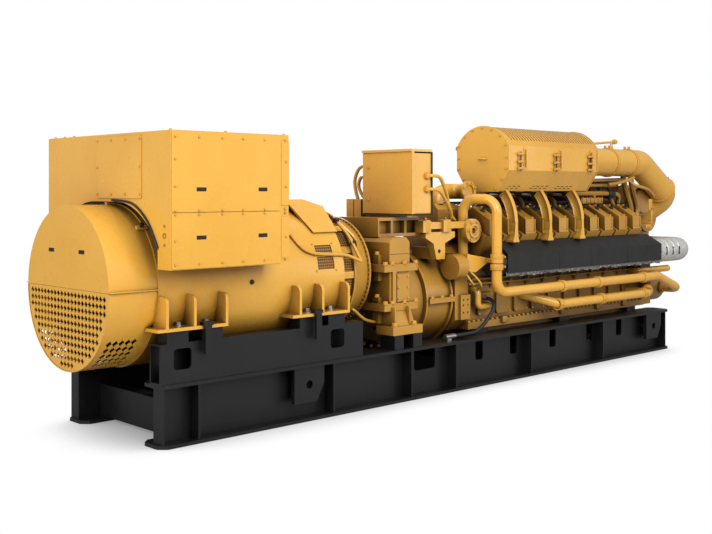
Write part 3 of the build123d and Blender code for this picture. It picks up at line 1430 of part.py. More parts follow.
def lower_coolant_pipe():
    """Lower run that slants out of a crankcase door and returns near the front of the block."""
    rear = FIRST_CYLINDER + CYLINDER_PITCH * 2
    front = FIRST_CYLINDER + CYLINDER_PITCH * (CYLINDERS - 1)
    seat = -BLOCK_HALF_WIDTH - DOOR_THICK
    route = [
        (rear, seat, LOWER_PIPE_Z + PIPE_RADIUS * 2),
        (rear, seat - PIPE_RADIUS, LOWER_PIPE_Z + PIPE_RADIUS * 2),
        (rear + CYLINDER_PITCH, -PIPE_OUT, LOWER_PIPE_Z),
        (front, -PIPE_OUT, LOWER_PIPE_Z),
        (front, seat, LOWER_PIPE_Z),
    ]
    return pipe(route, PIPE_RADIUS, PIPE_RADIUS)


write("coolant_pipes", *pair(upper_coolant_pipe()), *pair(lower_coolant_pipe()))


def pipe_clamps():
    """Split clamps on the upper run, each on an arm from the block side."""
    clamps = []
    half = PIPE_CLAMP_WIDTH / 2
    for x in PIPE_CLAMP_STATIONS:
        span_x = (x - half, x + half)
        clamp = rod_x(PIPE_RADIUS + PIPE_CLAMP, span_x, -PIPE_OUT, UPPER_PIPE_Z)
        arm_z = (UPPER_PIPE_Z - PIPE_CLAMP, UPPER_PIPE_Z + PIPE_CLAMP)
        clamp += block((x - PIPE_CLAMP, x + PIPE_CLAMP), (-PIPE_OUT, -BLOCK_HALF_WIDTH), arm_z)
        cut_x = (span_x[0] - OVERRUN, span_x[1] + OVERRUN)
        clamps += pair(clamp - rod_x(PIPE_RADIUS, cut_x, -PIPE_OUT, UPPER_PIPE_Z))
    return clamps


write("pipe_clamps", *pipe_clamps())


def oil_pipe():
    """Oil line down the rear of the block side and into the first crankcase door."""
    rear = ENGINE_REAR + OIL_PIPE_RADIUS * 3
    out = -BLOCK_HALF_WIDTH - OIL_PIPE_RADIUS * 3
    low = LOWER_PIPE_Z + OIL_PIPE_RADIUS
    route = [
        (rear, -BLOCK_HALF_WIDTH, CRANK_Z + OIL_PIPE_RADIUS * 2),
        (rear, out, CRANK_Z + OIL_PIPE_RADIUS * 2),
        (rear, out, low),
        (FIRST_CYLINDER, out, low),
        (FIRST_CYLINDER, -BLOCK_HALF_WIDTH - DOOR_THICK, low),
    ]
    return pipe(route, OIL_PIPE_RADIUS, OIL_PIPE_RADIUS * 1.5)


write("oil_pipes", *pair(oil_pipe()))


# Control box on the gearbox
def control_box():
    """Box body that faces the generator."""
    span_y = (CONTROL_NEAR, CONTROL_NEAR + CONTROL_WIDTH)
    span_z = (CONTROL_BOTTOM, CONTROL_BOTTOM + CONTROL_HEIGHT)
    return block((CONTROL_REAR, CONTROL_FRONT), span_y, span_z)


def junction_boxes():
    """Two small boxes on the stand beside the control box."""
    boxes = []
    width = CONTROL_DEPTH * 0.4
    span_x = (CONTROL_REAR, CONTROL_REAR + CONTROL_DEPTH / 2)
    for number in (0, 1):
        near = CONTROL_NEAR + CONTROL_WIDTH + CONTROL_DEPTH * (0.3 + 0.45 * number)
        boxes.append(block(span_x, (near, near + width), (STAND_TOP, STAND_TOP + CONTROL_DEPTH * 0.7)))
    return boxes


def control_lid():
    """Overhanging door of the control box with a roof plate above it."""
    span_y = (CONTROL_NEAR - LID_OVERHANG, CONTROL_NEAR + CONTROL_WIDTH + LID_OVERHANG)
    span_z = (CONTROL_BOTTOM - LID_OVERHANG, CONTROL_BOTTOM + CONTROL_HEIGHT + LID_OVERHANG)
    door = block((CONTROL_REAR - CONTROL_LID, CONTROL_REAR), span_y, span_z)
    roof_x = (CONTROL_REAR - CONTROL_LID - LID_OVERHANG, CONTROL_FRONT)
    return door + block(roof_x, span_y, (span_z[1], span_z[1] + CONTROL_LID * 0.8))


def control_stand():
    """Ribbed box on the gearbox top with a shelf under the control box."""
    span_x = (GEAR_REAR + SIDE_PLATE_THICK, GEAR_REAR + SIDE_PLATE_THICK + STAND_LENGTH)
    span_y = (-STAND_HALF_WIDTH, STAND_HALF_WIDTH)
    stand = block(span_x, span_y, (GEAR_TOP, STAND_TOP))
    bays = 3
    bay = STAND_LENGTH / bays
    for number in range(bays):
        rear = span_x[0] + number * bay
        pocket_x = (rear + SIDE_PLATE_THICK / 2, rear + bay - SIDE_PLATE_THICK / 2)
        pocket_z = (GEAR_TOP + SIDE_PLATE_THICK, STAND_TOP - SIDE_PLATE_THICK)
        pocket_y = (-STAND_HALF_WIDTH - OVERRUN, -STAND_HALF_WIDTH + bay / 3)
        for shape in pair(block(pocket_x, pocket_y, pocket_z)):
            stand -= shape
    seat_y = (CONTROL_NEAR + CONTROL_WIDTH / 2, CONTROL_NEAR + CONTROL_WIDTH)
    seat_x = (CONTROL_REAR, CONTROL_FRONT)
    stand += block(seat_x, seat_y, (STAND_TOP - SIDE_PLATE_THICK / 2, CONTROL_BOTTOM))
    shelf_y = (CONTROL_NEAR, CONTROL_NEAR + CONTROL_WIDTH)
    return stand + block(seat_x, shelf_y, (CONTROL_BOTTOM - LID_OVERHANG, CONTROL_BOTTOM))


write("control_box", control_box(), *junction_boxes())
write("control_box_lid", control_lid())
write("control_box_stand", control_stand())


# Gas inlet, cooler and valve
def aftercooler():
    """Housing above the flywheel end of the block that the gas line drops into."""
    rear = COOLER_REAR
    low = CRANK_Z + FLYWHEEL_HALF_WIDTH
    deck = bank_point(-HEAD_IN, DECK_HEIGHT)[1]
    half = COOLER_HALF_WIDTH
    corner = half / 4
    profile = [
        (-half, deck),
        (half, deck),
        (half, COOLER_TOP - corner),
        (half - corner, COOLER_TOP),
        (-half + corner, COOLER_TOP),
        (-half, COOLER_TOP - corner),
    ]
    housing = prism_x(profile, (rear, COOLER_FRONT))
    rim = SIDE_PLATE_THICK
    middle = (deck + COOLER_TOP) / 2
    rim_y = (-half - rim / 2, half + rim / 2)
    housing += block((rear - rim / 2, COOLER_FRONT), rim_y, (middle, middle + rim))
    return housing + block((rear, ENGINE_REAR - SEAT), (-half, half), (low, deck + SEAT))


def gas_inlet():
    """Flanged inlet that runs back and drops into the cooler."""
    near = -CYLINDER_PITCH
    drop_x = COOLER_REAR + GAS_FLANGE
    across = -COOLER_HALF_WIDTH / 2
    inlet = rod_y(GAS_FLANGE, (near - SIDE_PLATE_THICK, near), GAS_STATION, GAS_Z)
    route = [
        (GAS_STATION, near, GAS_Z),
        (GAS_STATION, across, GAS_Z),
        (drop_x, across, GAS_Z),
        (drop_x, across, COOLER_TOP),
    ]
    recess_y = (near - SIDE_PLATE_THICK - OVERRUN, near - SIDE_PLATE_THICK * 0.6)
    inlet += pipe(route, GAS_RADIUS, GAS_RADIUS * 1.4)
    return inlet - rod_y(GAS_RADIUS * 0.85, recess_y, GAS_STATION, GAS_Z)


def gas_valve():
    """Valve casting with two bolt bosses and a round cover, on a forked bracket."""
    near, far = -VALVE_OUT, -STAND_HALF_WIDTH
    low, high = VALVE_BOTTOM, VALVE_BOTTOM + VALVE_HEIGHT
    front = VALVE_REAR + VALVE_LENGTH
    valve = block((VALVE_REAR, front), (near, far), (low + SIDE_PLATE_THICK, high - SIDE_PLATE_THICK / 2))
    for share in (0, 0.46):
        x = VALVE_REAR + share * VALVE_LENGTH + VALVE_HEIGHT / 2
        boss_x = (x - VALVE_HEIGHT / 2, x + VALVE_HEIGHT / 2)
        valve += block(boss_x, (near - SIDE_PLATE_THICK, far), (low, high))
    disc_x = front + DISC_RADIUS * 0.9
    disc_y = (near - SIDE_PLATE_THICK, near + SIDE_PLATE_THICK)
    valve += rod_y(DISC_RADIUS, disc_y, disc_x, low)
    cut_y = (disc_y[0] - OVERRUN, disc_y[0] + SIDE_PLATE_THICK)
    valve -= rod_y(DISC_RADIUS / 4, cut_y, disc_x, low)
    fork = [
        (VALVE_REAR + VALVE_HEIGHT * 0.6, low),
        (VALVE_REAR + VALVE_HEIGHT * 0.6, low - VALVE_HEIGHT / 2),
        (VALVE_REAR + VALVE_HEIGHT * 1.6, low - VALVE_HEIGHT),
        (VALVE_REAR + VALVE_HEIGHT * 2, low - VALVE_HEIGHT * 2.4),
        (VALVE_REAR + VALVE_HEIGHT * 3.1, low - VALVE_HEIGHT * 2.4),
        (VALVE_REAR + VALVE_HEIGHT * 3.1, low - VALVE_HEIGHT),
        (VALVE_REAR + VALVE_HEIGHT * 4.4, low - VALVE_HEIGHT / 2),
        (VALVE_REAR + VALVE_HEIGHT * 4.4, low),
    ]
    bracket = prism_y(fork, (near, far))
    stem_x = (VALVE_REAR + VALVE_HEIGHT * 2, VALVE_REAR + VALVE_HEIGHT * 3.1)
    stem_z = (low - VALVE_HEIGHT * 2.4, low - VALVE_HEIGHT * 1.4)
    bracket += block(stem_x, (near, -GUARD_RADIUS / 3), stem_z)
    hole_y = (near - OVERRUN, far + OVERRUN)
    bracket -= rod_y(DISC_RADIUS / 6, hole_y, stem_x[0] + DISC_RADIUS / 3, low - VALVE_HEIGHT * 1.7)
    return valve + bracket - flywheel_guard()


def starter_motor():
    """Round starter beside the flywheel housing."""
    span_x = (FLYWHEEL_REAR + SIDE_PLATE_THICK - STARTER_LENGTH, FLYWHEEL_REAR + SIDE_PLATE_THICK)
    return rod_x(STARTER_RADIUS, span_x, -STARTER_OUT, CRANK_Z + STARTER_RISE) - flywheel_housing()


def riser_bracket():
    """Plate that carries the starter and holds the coolant riser, braced to the flywheel housing."""
    middle = CRANK_Z + STARTER_RISE
    rear = FLYWHEEL_REAR + SIDE_PLATE_THICK
    near = -STARTER_OUT - STARTER_RADIUS * 0.8
    clamp_low = middle + SIDE_PLATE_THICK
    plate = [
        (rear, middle - STARTER_RADIUS / 3),
        (rear + STARTER_RADIUS, middle - STARTER_RADIUS / 2),
        (RISER_STATION, clamp_low),
        (RISER_STATION, clamp_low + PIPE_CLAMP_WIDTH),
        (rear, middle + STARTER_RADIUS),
    ]
    bracket = prism_y(plate, (near, near + SIDE_PLATE_THICK / 2))
    web_z = (middle - STARTER_RADIUS / 3, middle + STARTER_RADIUS)
    bracket += block((rear, rear + SIDE_PLATE_THICK), (near, -FLYWHEEL_HALF_WIDTH / 2), web_z)
    bracket += block(
        (RISER_STATION - PIPE_CLAMP_WIDTH / 2, RISER_STATION + PIPE_CLAMP_WIDTH / 2),
        (-PIPE_OUT, near + SIDE_PLATE_THICK / 2),
        (clamp_low, clamp_low + PIPE_CLAMP_WIDTH),
    )
    ring_z = (clamp_low, clamp_low + PIPE_CLAMP_WIDTH)
    bracket += rod_z(PIPE_RADIUS + PIPE_CLAMP, ring_z, RISER_STATION, -PIPE_OUT)
    hole_z = (ring_z[0] - OVERRUN, ring_z[1] + OVERRUN)
    return bracket - rod_z(PIPE_RADIUS, hole_z, RISER_STATION, -PIPE_OUT) - flywheel_housing()


write("aftercooler", aftercooler())
write("gas_inlet", gas_inlet())
write("gas_valve", gas_valve())
write("starter_motor", starter_motor())
write("riser_bracket", riser_bracket())


# Conduits
def control_conduits():
    """Swept conduits from the control box to the valve and looped conduits to the junction box."""
    conduits = []
    top = VALVE_BOTTOM + VALVE_HEIGHT
    near = CONTROL_NEAR - CONDUIT_RADIUS * 5
    x = CONTROL_REAR + CONTROL_DEPTH * 0.72
    for step in (0, 1):
        start_z = CONTROL_BOTTOM + CONTROL_HEIGHT * (0.40 + 0.22 * step)
        end_x = VALVE_REAR + VALVE_LENGTH - VALVE_HEIGHT * (0.5 + 0.8 * step)
        end_y = -(VALVE_OUT + STAND_HALF_WIDTH) / 2
        end_z = top - SIDE_PLATE_THICK / 2
        route = [
            (x, CONTROL_NEAR, start_z),
            (x, near, start_z),
            (CONTROL_FRONT + CONTROL_DEPTH / 2, near, start_z),
            (end_x, end_y, end_z + CONTROL_DEPTH * 0.6),
            (end_x, end_y, end_z),
        ]
        conduits.append(pipe(route, CONDUIT_RADIUS, CONDUIT_RADIUS * 4))
    far = CONTROL_NEAR + CONTROL_WIDTH
    box_top = STAND_TOP + CONTROL_DEPTH * 0.7
    for step in (0, 1):
        out = far + CONTROL_DEPTH * (0.5 + 0.45 * step)
        start_z = CONTROL_BOTTOM + CONTROL_HEIGHT * (0.55 + 0.25 * step)
        x = CONTROL_REAR + CONTROL_DEPTH / 4
        route = [(x, far, start_z), (x, out, start_z), (x, out, box_top)]
        conduits.append(pipe(route, CONDUIT_RADIUS, CONDUIT_RADIUS * 5))
    return conduits


write("control_conduits", *control_conduits())


# Drain hose
def drain_hose():
    """Rubber hose from the first crankcase door down to a fitting on the base rail."""
    hang_y = -BLOCK_HALF_WIDTH - HOSE_RADIUS * 10
    top = CRANK_Z - HOSE_RADIUS * 1.5
    bend = HOSE_RADIUS * 8
    start_x = FIRST_CYLINDER - HOSE_RADIUS
    route = [
        (start_x, -BLOCK_HALF_WIDTH - DOOR_THICK, top),
        (start_x, hang_y, top),
        (start_x - HOSE_RADIUS * 4, hang_y, PAN_RAIL_BOTTOM + HOSE_RADIUS * 3),
        (start_x - HOSE_RADIUS * 24, hang_y, RAIL_HEIGHT + HOSE_RADIUS * 2),
        (FLYWHEEL_REAR - FLYWHEEL_LENGTH, hang_y, RAIL_HEIGHT + HOSE_RADIUS * 2),
    ]
    return pipe(route, HOSE_RADIUS, bend)


def drain_fitting():
    """Tap body on the base rail at the end of the drain hose."""
    hang_y = -BLOCK_HALF_WIDTH - HOSE_RADIUS * 10
    front = FLYWHEEL_REAR - FLYWHEEL_LENGTH
    rear = front - HOSE_RADIUS * 5
    body = rod_x(HOSE_RADIUS * 1.3, (rear, front), hang_y, RAIL_HEIGHT + HOSE_RADIUS * 2)
    foot_y = (hang_y - HOSE_RADIUS, hang_y + HOSE_RADIUS)
    foot_x = (rear + HOSE_RADIUS, front - HOSE_RADIUS)
    return body + block(foot_x, foot_y, (RAIL_HEIGHT, RAIL_HEIGHT + HOSE_RADIUS * 2))


write("drain_hose", drain_hose())
write("drain_fitting", drain_fitting())
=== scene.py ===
import json
import math
import bmesh
import bpy
from mathutils import Matrix, Vector, noise


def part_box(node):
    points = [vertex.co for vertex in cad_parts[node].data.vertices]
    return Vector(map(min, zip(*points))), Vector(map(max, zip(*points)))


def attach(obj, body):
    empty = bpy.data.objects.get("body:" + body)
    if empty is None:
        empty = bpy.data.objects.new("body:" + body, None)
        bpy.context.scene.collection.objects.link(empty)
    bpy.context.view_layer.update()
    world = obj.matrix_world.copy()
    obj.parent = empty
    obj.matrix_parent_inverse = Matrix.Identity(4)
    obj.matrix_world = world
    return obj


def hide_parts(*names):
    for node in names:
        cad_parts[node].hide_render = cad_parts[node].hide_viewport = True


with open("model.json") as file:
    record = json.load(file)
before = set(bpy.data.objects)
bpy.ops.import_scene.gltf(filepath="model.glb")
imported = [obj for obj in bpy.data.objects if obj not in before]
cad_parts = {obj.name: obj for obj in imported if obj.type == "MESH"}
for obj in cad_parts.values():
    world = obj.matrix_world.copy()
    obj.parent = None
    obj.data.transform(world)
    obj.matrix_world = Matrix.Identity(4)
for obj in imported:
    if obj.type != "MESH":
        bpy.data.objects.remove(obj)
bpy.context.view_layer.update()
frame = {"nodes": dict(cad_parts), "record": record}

# Stations run along the base from its rear end, in metres, and the CAD model is centred on its length.
MID_LENGTH = 3.84
SHAFT_Z = 1.185
CRANK_Z = 0.860
CYLINDER_PITCH = 0.299
CYLINDER_STATIONS = [4.0695 + number * CYLINDER_PITCH for number in range(10)]
# Right-hand side, which is the near one in the photograph, and left-hand side
SIDES = (-1, 1)


def place(x, y, z):
    """A point given by its station along the base, in the row frame."""
    return Vector((x - MID_LENGTH, y, z))


def both_sides(points):
    """The points and their mirror images across the middle plane of the set."""
    return [(x, side * y, z) for x, y, z in points for side in (1, -1)]


def around(x, radius, degrees, middle=SHAFT_Z):
    """Station point at an angle up from the right-hand side about a shaft line, and the way out there."""
    turn = math.radians(degrees)
    out = (0, -math.cos(turn), math.sin(turn))
    return (x, radius * out[1], middle + radius * out[2]), out


# Camera at the photograph's viewing angle
PHOTO_WIDTH = 712
FOCAL_PIXELS = 1027.75
HORIZON_PIXELS_UP = 76.4
CAMERA_SPOT = (-4.187, -7.262, 1.935)
CAMERA_TURN = math.radians(-43.385)
camera_data = bpy.data.cameras.new("camera")
camera_data.sensor_width = 36
camera_data.sensor_fit = "HORIZONTAL"
camera_data.lens = FOCAL_PIXELS / PHOTO_WIDTH * camera_data.sensor_width
camera_data.shift_y = -HORIZON_PIXELS_UP / PHOTO_WIDTH
camera = bpy.data.objects.new("camera", camera_data)
camera.location = place(*CAMERA_SPOT)
camera.rotation_euler = (math.radians(90), 0, CAMERA_TURN)
bpy.context.collection.objects.link(camera)
bpy.context.scene.camera = camera
bpy.context.scene.view_settings.view_transform = "Standard"


# Materials
def linear(hex_colour):
    """Linear colour of an sRGB hex value."""
    channels = []
    for start in (0, 2, 4):
        value = int(hex_colour[start:start + 2], 16) / 255
        channels.append(value / 12.92 if value <= 0.04045 else ((value + 0.055) / 1.055) ** 2.4)
    return (*channels, 1.0)


def add(tree, kind, settings, links):
    """Adds a node with its settings and links; a key is an input's name or number, or an attribute."""
    node = tree.nodes.new(kind)
    for key, value in settings.items():
        if isinstance(key, int) or key in node.inputs:
            node.inputs[key].default_value = value
        else:
            setattr(node, key, value)
    for key, socket in links.items():
        tree.links.new(socket, node.inputs[key])
    return node


def new_material(name):
    """An empty node material and its tree."""
    material = bpy.data.materials.new(name)
    material.use_nodes = True
    material.node_tree.nodes.clear()
    return material, material.node_tree


def two_tone(tree, value, low, high, first, second):
    """A colour ramp from one colour to another between two values."""
    ramp = add(tree, "ShaderNodeValToRGB", {}, {"Fac": value})
    ramp.color_ramp.elements[0].position = low
    ramp.color_ramp.elements[0].color = linear(first)
    ramp.color_ramp.elements[1].position = high
    ramp.color_ramp.elements[1].color = linear(second)
    return ramp.outputs["Color"]


def own_place(tree):
    """The object's own coordinates, in metres."""
    return add(tree, "ShaderNodeTexCoord", {}, {}).outputs["Object"]


def grain(tree, scale, detail, roughness=0.5):
    """Grey noise with a scale per metre."""
    settings = {"Scale": scale, "Detail": detail, "Roughness": roughness}
    return add(tree, "ShaderNodeTexNoise", settings, {"Vector": own_place(tree)}).outputs["Fac"]


def spread(tree, value, low, high, first, second):
    """Maps the values between low and high onto those between first and second."""
    settings = {"From Min": low, "From Max": high, "To Min": first, "To Max": second}
    return add(tree, "ShaderNodeMapRange", settings, {"Value": value}).outputs["Result"]


def relief(tree, height, strength, distance):
    """Bump from a height, as a normal."""
    settings = {"Strength": strength, "Distance": distance}
    return add(tree, "ShaderNodeBump", settings, {"Height": height}).outputs["Normal"]


def sums(tree, operation, *values):
    """Result of a math node on sockets and plain numbers."""
    numbers = {i: value for i, value in enumerate(values) if isinstance(value, float)}
    sockets = {i: value for i, value in enumerate(values) if i not in numbers}
    return add(tree, "ShaderNodeMath", {"operation": operation, **numbers}, sockets).outputs[0]


def surface(tree, settings, links):
    """Ends a material in one principled shader."""
    shader = add(tree, "ShaderNodeBsdfPrincipled", settings, links)
    add(tree, "ShaderNodeOutputMaterial", {}, {"Surface": shader.outputs["BSDF"]})


def painted(name, light, dark, painted_shade_colour, reach, roughness, peel_mm, coat, deepest=0.05):
    """Sprayed paint: colour drifts from wall to wall, painted shade from an occlusion node darkens corners,
    orange peel breaks the gloss.
    """
    material, tree = new_material(name)
    colour = two_tone(tree, grain(tree, 1.1, 3.0), 0.35, 0.65, dark, light)
    # Painted shade: an occlusion node mixes the colour towards the shade colour in corners, recesses and
    # under overhangs.
    corner = add(tree, "ShaderNodeAmbientOcclusion", {"Distance": reach, "samples": 8}, {})
    unshaded = spread(tree, corner.outputs["AO"], deepest, 0.78, 0.0, 1.0)
    mixed = add(tree, "ShaderNodeMix", {"data_type": "RGBA", 6: linear(painted_shade_colour)}, {0: unshaded, 7: colour})
    smear = grain(tree, 6.0, 4.0)
    surface(
        tree,
        {"IOR": 1.5, "Coat Weight": coat, "Coat Roughness": 0.12},
        {
            "Base Color": mixed.outputs[2],
            "Roughness": spread(tree, smear, 0.3, 0.7, roughness - 0.05, roughness + 0.06),
            "Normal": relief(tree, grain(tree, 1000 / peel_mm, 1.0), 0.08, 0.0004),
        },
    )
    return material


# Two-pack enamel over steel plate: warm and even on open walls, with brown painted shade in corners and under
# overhangs
yellow_enamel = painted("sprayed_yellow_enamel", "EDB348", "E5AA40", "4A2C08", 1.1, 0.28, 6.0, 0.3)
# Enamel on pipes and ducts: as bright as on the walls, with shade only close to joints
pipe_enamel = painted("gloss_yellow_pipe_enamel", "EDB348", "E5AA40", "6A4512", 0.3, 0.26, 6.0, 0.3)
# Enamel on the louvred lid: painted shade in the grooves makes them read as dark lines
lid_enamel = painted("groove_shaded_yellow_enamel", "DFA640", "D69C38", "2A1804", 0.05, 0.34, 6.0, 0.2, 0.38)
# Enamel on the punched hood: the walls of the holes fall into shade
punched_enamel = painted("punched_yellow_enamel", "EDB348", "E5AA40", "120A02", 0.06, 0.28, 6.0, 0.3, 0.25)
# Enamel over rough castings on the engine: a darker, browner copy of the yellow as painted shade over the
# engine, with painted shade in its corners
cast_enamel = painted("shade_darkened_yellow_enamel", "CF9A3E", "BF8A32", "3A2006", 0.9, 0.36, 8.0, 0.1, 0.10)
# The same enamel brushed over bolt heads and small fittings: painted shade only close round their edges
bolt_enamel = painted("brushed_yellow_enamel", "E0A53E", "D79B36", "7A5016", 0.03, 0.36, 3.0, 0.15)
# Chassis black over shot-blasted steel: a dull sheen on the flanges, almost no light in the bays
black_paint = painted("satin_black_chassis_paint", "121213", "0E0E0F", "040405", 0.5, 0.42, 5.0, 0.05)
# Heat-proof black on the exhaust shields: finely textured and matt
shield_coat = painted("textured_black_heat_paint", "1E1E1E", "181818", "080808", 0.4, 0.60, 4.0, 0.0)
# Moulded nylon: soft dark sheen
black_nylon = painted("moulded_black_nylon", "1A1A1A", "121212", "060606", 0.1, 0.48, 2.0, 0.0)


def foil_lagging(name, dark, light, metal):
    """Crumpled foil over glass-fibre lagging: dull metal with creases and soft quilting."""
    material, tree = new_material(name)
    quilt = {"Scale": 24.0, "feature": "DISTANCE_TO_EDGE"}
    crease = add(tree, "ShaderNodeTexVoronoi", quilt, {"Vector": own_place(tree)}).outputs["Distance"]
    fine = grain(tree, 60.0, 5.0, 0.6)
    surface(
        tree,
        {"Metallic": metal, "Roughness": 0.42},
        {
            "Base Color": two_tone(tree, fine, 0.3, 0.7, dark, light),
            "Normal": relief(tree, sums(tree, "ADD", crease, fine), 0.5, 0.008),
        },
    )
    return material


def hose_rubber():
    """Moulded black rubber: almost no gloss, faint grey bloom."""
    material, tree = new_material("moulded_black_rubber")
    bloom = two_tone(tree, grain(tree, 40.0, 4.0), 0.3, 0.7, "141414", "262627")
    surface(tree, {"Roughness": 0.6, "IOR": 1.52}, {"Base Color": bloom})
    return material


def zinc_plate():
    """Zinc-plated steel: pale grey metal with a cloudy sheen from the bath."""
    material, tree = new_material("zinc_plated_steel")
    cloud = grain(tree, 90.0, 3.0)
    surface(
        tree,
        {"Metallic": 1.0},
        {
            "Base Color": two_tone(tree, cloud, 0.3, 0.7, "9C9C98", "C6C6C2"),
            "Roughness": spread(tree, cloud, 0.0, 1.0, 0.28, 0.45),
        },
    )
    return material


SCREEN_CELL = 0.024
SCREEN_RADIUS = 0.6


def woven_screen():
    """Painted wire screen: ochre wires over a dark inside, coarser than the real mesh of about 8 mm."""
    material, tree = new_material("painted_wire_screen")
    parts = add(tree, "ShaderNodeSeparateXYZ", {}, {0: own_place(tree)}).outputs
    turn = sums(tree, "ARCTAN2", sums(tree, "SUBTRACT", parts["Z"], SHAFT_Z), parts["Y"])
    waves = []
    for value, size in ((parts["X"], SCREEN_CELL), (turn, SCREEN_CELL / SCREEN_RADIUS)):
        phase = sums(tree, "MULTIPLY", value, math.pi / size)
        waves.append(sums(tree, "ABSOLUTE", sums(tree, "SINE", phase)))
    wires = two_tone(tree, sums(tree, "MINIMUM", *waves), 0.35, 0.5, "B27E2C", "1E1408")
    surface(tree, {"Roughness": 0.55}, {"Base Color": wires})
    return material


# Clean foil on the bellows: bright in the light
lagging = foil_lagging("crumpled_foil_lagging", "B4B4B0", "F0F0EC", 0.35)
# Foil near the ports: a darker copy of the foil as painted shade under the shields
shaded_foil = foil_lagging("shade_darkened_crumpled_foil", "2E2B27", "A9A7A2", 0.5)
# Glass cloth on the manifolds: almost black as painted shade under the shields, without shine
glass_cloth = foil_lagging("shade_dark_glass_cloth_lagging", "1C1A18", "3A3734", 0.0)
# Hose and seals: black with a grey bloom
rubber = hose_rubber()
# Bolts and collars: cloudy grey metal
zinc = zinc_plate()
# Windows of the generator frame: wires in front of the dark
screen = woven_screen()
FINISH = {
    "yellow_enamel": yellow_enamel,
    "black_satin_paint": black_paint,
    "exhaust_insulation": lagging,
    "black_rubber": rubber,
    "screen_steel": screen,
    "plated_steel": zinc,
}
for entry in frame["record"]["subparts"]:
    body = frame["nodes"][entry["node"]]
    body.data.materials.clear()
    body.data.materials.append(FINISH[entry["material_slot"]])
CASTINGS = (
    "cylinder_block cylinder_heads valve_covers crankcase_doors oil_pan front_housing inlet_plenum "
    "aftercooler turbocharger flywheel_guard flywheel_housing rear_side_plates starter_motor gearbox_case "
    "control_box_stand water_pumps drive_end_bell"
)
for finish, nodes in (
    (glass_cloth, "exhaust_manifolds"),
    (shield_coat, "exhaust_shields"),
    (cast_enamel, CASTINGS),
    (pipe_enamel, "air_duct air_elbow coolant_pipes pipe_clamps"),
    (lid_enamel, "air_cleaner_lid"),
):
    for node in nodes.split():
        frame["nodes"][node].data.materials[0] = finish

# Slot and finish of the pieces that are made most often
CAST = ("yellow_enamel", cast_enamel)
BRUSHED = ("yellow_enamel", bolt_enamel)
NYLON = ("black_rubber", black_nylon)


# Making of pieces
def finished(name, mesh, slot, finish):
    """Makes a named piece of a mesh, smooth but for its edges, that rides on the set."""
    mesh.shade_smooth()
    mesh.set_sharp_from_angle(angle=math.radians(35))
    mesh.materials.append(finish or FINISH[slot])
    made = bpy.data.objects.new(name, mesh)
    bpy.context.collection.objects.link(made)
    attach(made, "root")
    return made


def piece(name, shape, slot, finish=None):
    """Closes a shape that is being modelled and makes it a piece."""
    bmesh.ops.recalc_face_normals(shape, faces=shape.faces)
    mesh = bpy.data.meshes.new(name)
    shape.to_mesh(mesh)
    shape.free()
    return finished(name, mesh, slot, finish)


def facing(spot, axis):
    """Turns +Z towards an axis and moves it to a station point."""
    return Matrix.Translation(place(*spot)) @ Vector(axis).to_track_quat("Z", "Y").to_matrix().to_4x4()


def bolt(shape, spot, axis, across):
    """Adds a hexagon head with its washer and chamfered top."""
    turn = facing(spot, axis)
    for sides, wide, narrow, low, high in (
        (10, 0.68, 0.68, -0.05, 0.14),
        (6, 0.577, 0.577, 0.14, 0.56),
        (6, 0.577, 0.46, 0.56, 0.66),
    ):
        bmesh.ops.create_cone(
            shape,
            cap_ends=True,
            segments=sides,
            radius1=wide * across,
            radius2=narrow * across,
            depth=(high - low) * across,
            matrix=turn @ Matrix.Translation((0, 0, (low + high) / 2 * across)),
        )


def block(shape, matrix, edge, segments):
    """Adds a cube under a matrix, with its edges bevelled."""
    made = bmesh.ops.create_cube(shape, size=1, matrix=matrix)
    edges = {line for vert in made["verts"] for line in vert.link_edges}
    bmesh.ops.bevel(
        shape, geom=list(edges), offset=edge, segments=segments, profile=0.5, affect="EDGES", material=-1
    )


def slab(shape, low, high, edge):
    """Adds a plate between two station corners with rounded edges."""
    size = Vector(high) - Vector(low)
    middle = (Vector(high) + Vector(low)) / 2
    block(shape, Matrix.Translation(place(*middle)) @ Matrix.Diagonal((*size, 1)), edge, 2)


def twin_slabs(shape, low, high, edge):
    """Adds a plate, given on the left-hand side, to both sides of the set."""
    for side in SIDES:
        first, second = sorted((side * low[1], side * high[1]))
        slab(shape, (low[0], first, low[2]), (high[0], second, high[2]), edge)


def turned(shape, profile, spot, axis, steps):
    """Spins a closed outline of (radius, height) pairs about an axis through a station point."""
    turn = facing(spot, axis)
    verts = [shape.verts.new(turn @ Vector((radius, 0, height))) for radius, height in profile]
    edges = [shape.edges.new((verts[i - 1], verts[i])) for i in range(len(verts))]
    bmesh.ops.spin(
        shape,
        geom=verts + edges,
        cent=place(*spot),
        axis=Vector(axis).normalized(),
        angle=2 * math.pi,
        steps=steps,
        use_merge=True,
    )
    bmesh.ops.remove_doubles(shape, verts=shape.verts, dist=1e-6)


def tray(shape, spot, axis, width, height):
    """Adds a shallow moulded recess with a rim."""
    size = Matrix.Diagonal((width, height, 0.006, 1))
    made = bmesh.ops.create_cube(shape, size=1, matrix=facing(spot, axis) @ size)
    faces = {face for vert in made["verts"] for face in vert.link_faces}
    front = max(faces, key=lambda face: face.calc_center_median().dot(Vector(axis)))
    bmesh.ops.inset_region(shape, faces=[front], thickness=0.005, depth=-0.0035)


def arc_plate(shape, span_x, span_r, angles, steps):
    """Adds a curved plate about the shaft line; angles run up from the right-hand side, in degrees."""
    verts = []
    for end, rim in ((0, 0), (1, 0), (1, 1), (0, 1)):
        spot, _ = around(span_x[end], span_r[rim], angles[0])
        verts.append(shape.verts.new(place(*spot)))
    face = shape.faces.new(verts)
    bmesh.ops.spin(
        shape,
        geom=[face] + list(face.edges) + verts,
        cent=place(0, 0, SHAFT_Z),
        axis=(1, 0, 0),
        angle=-math.radians(angles[1] - angles[0]),
        steps=steps,
    )


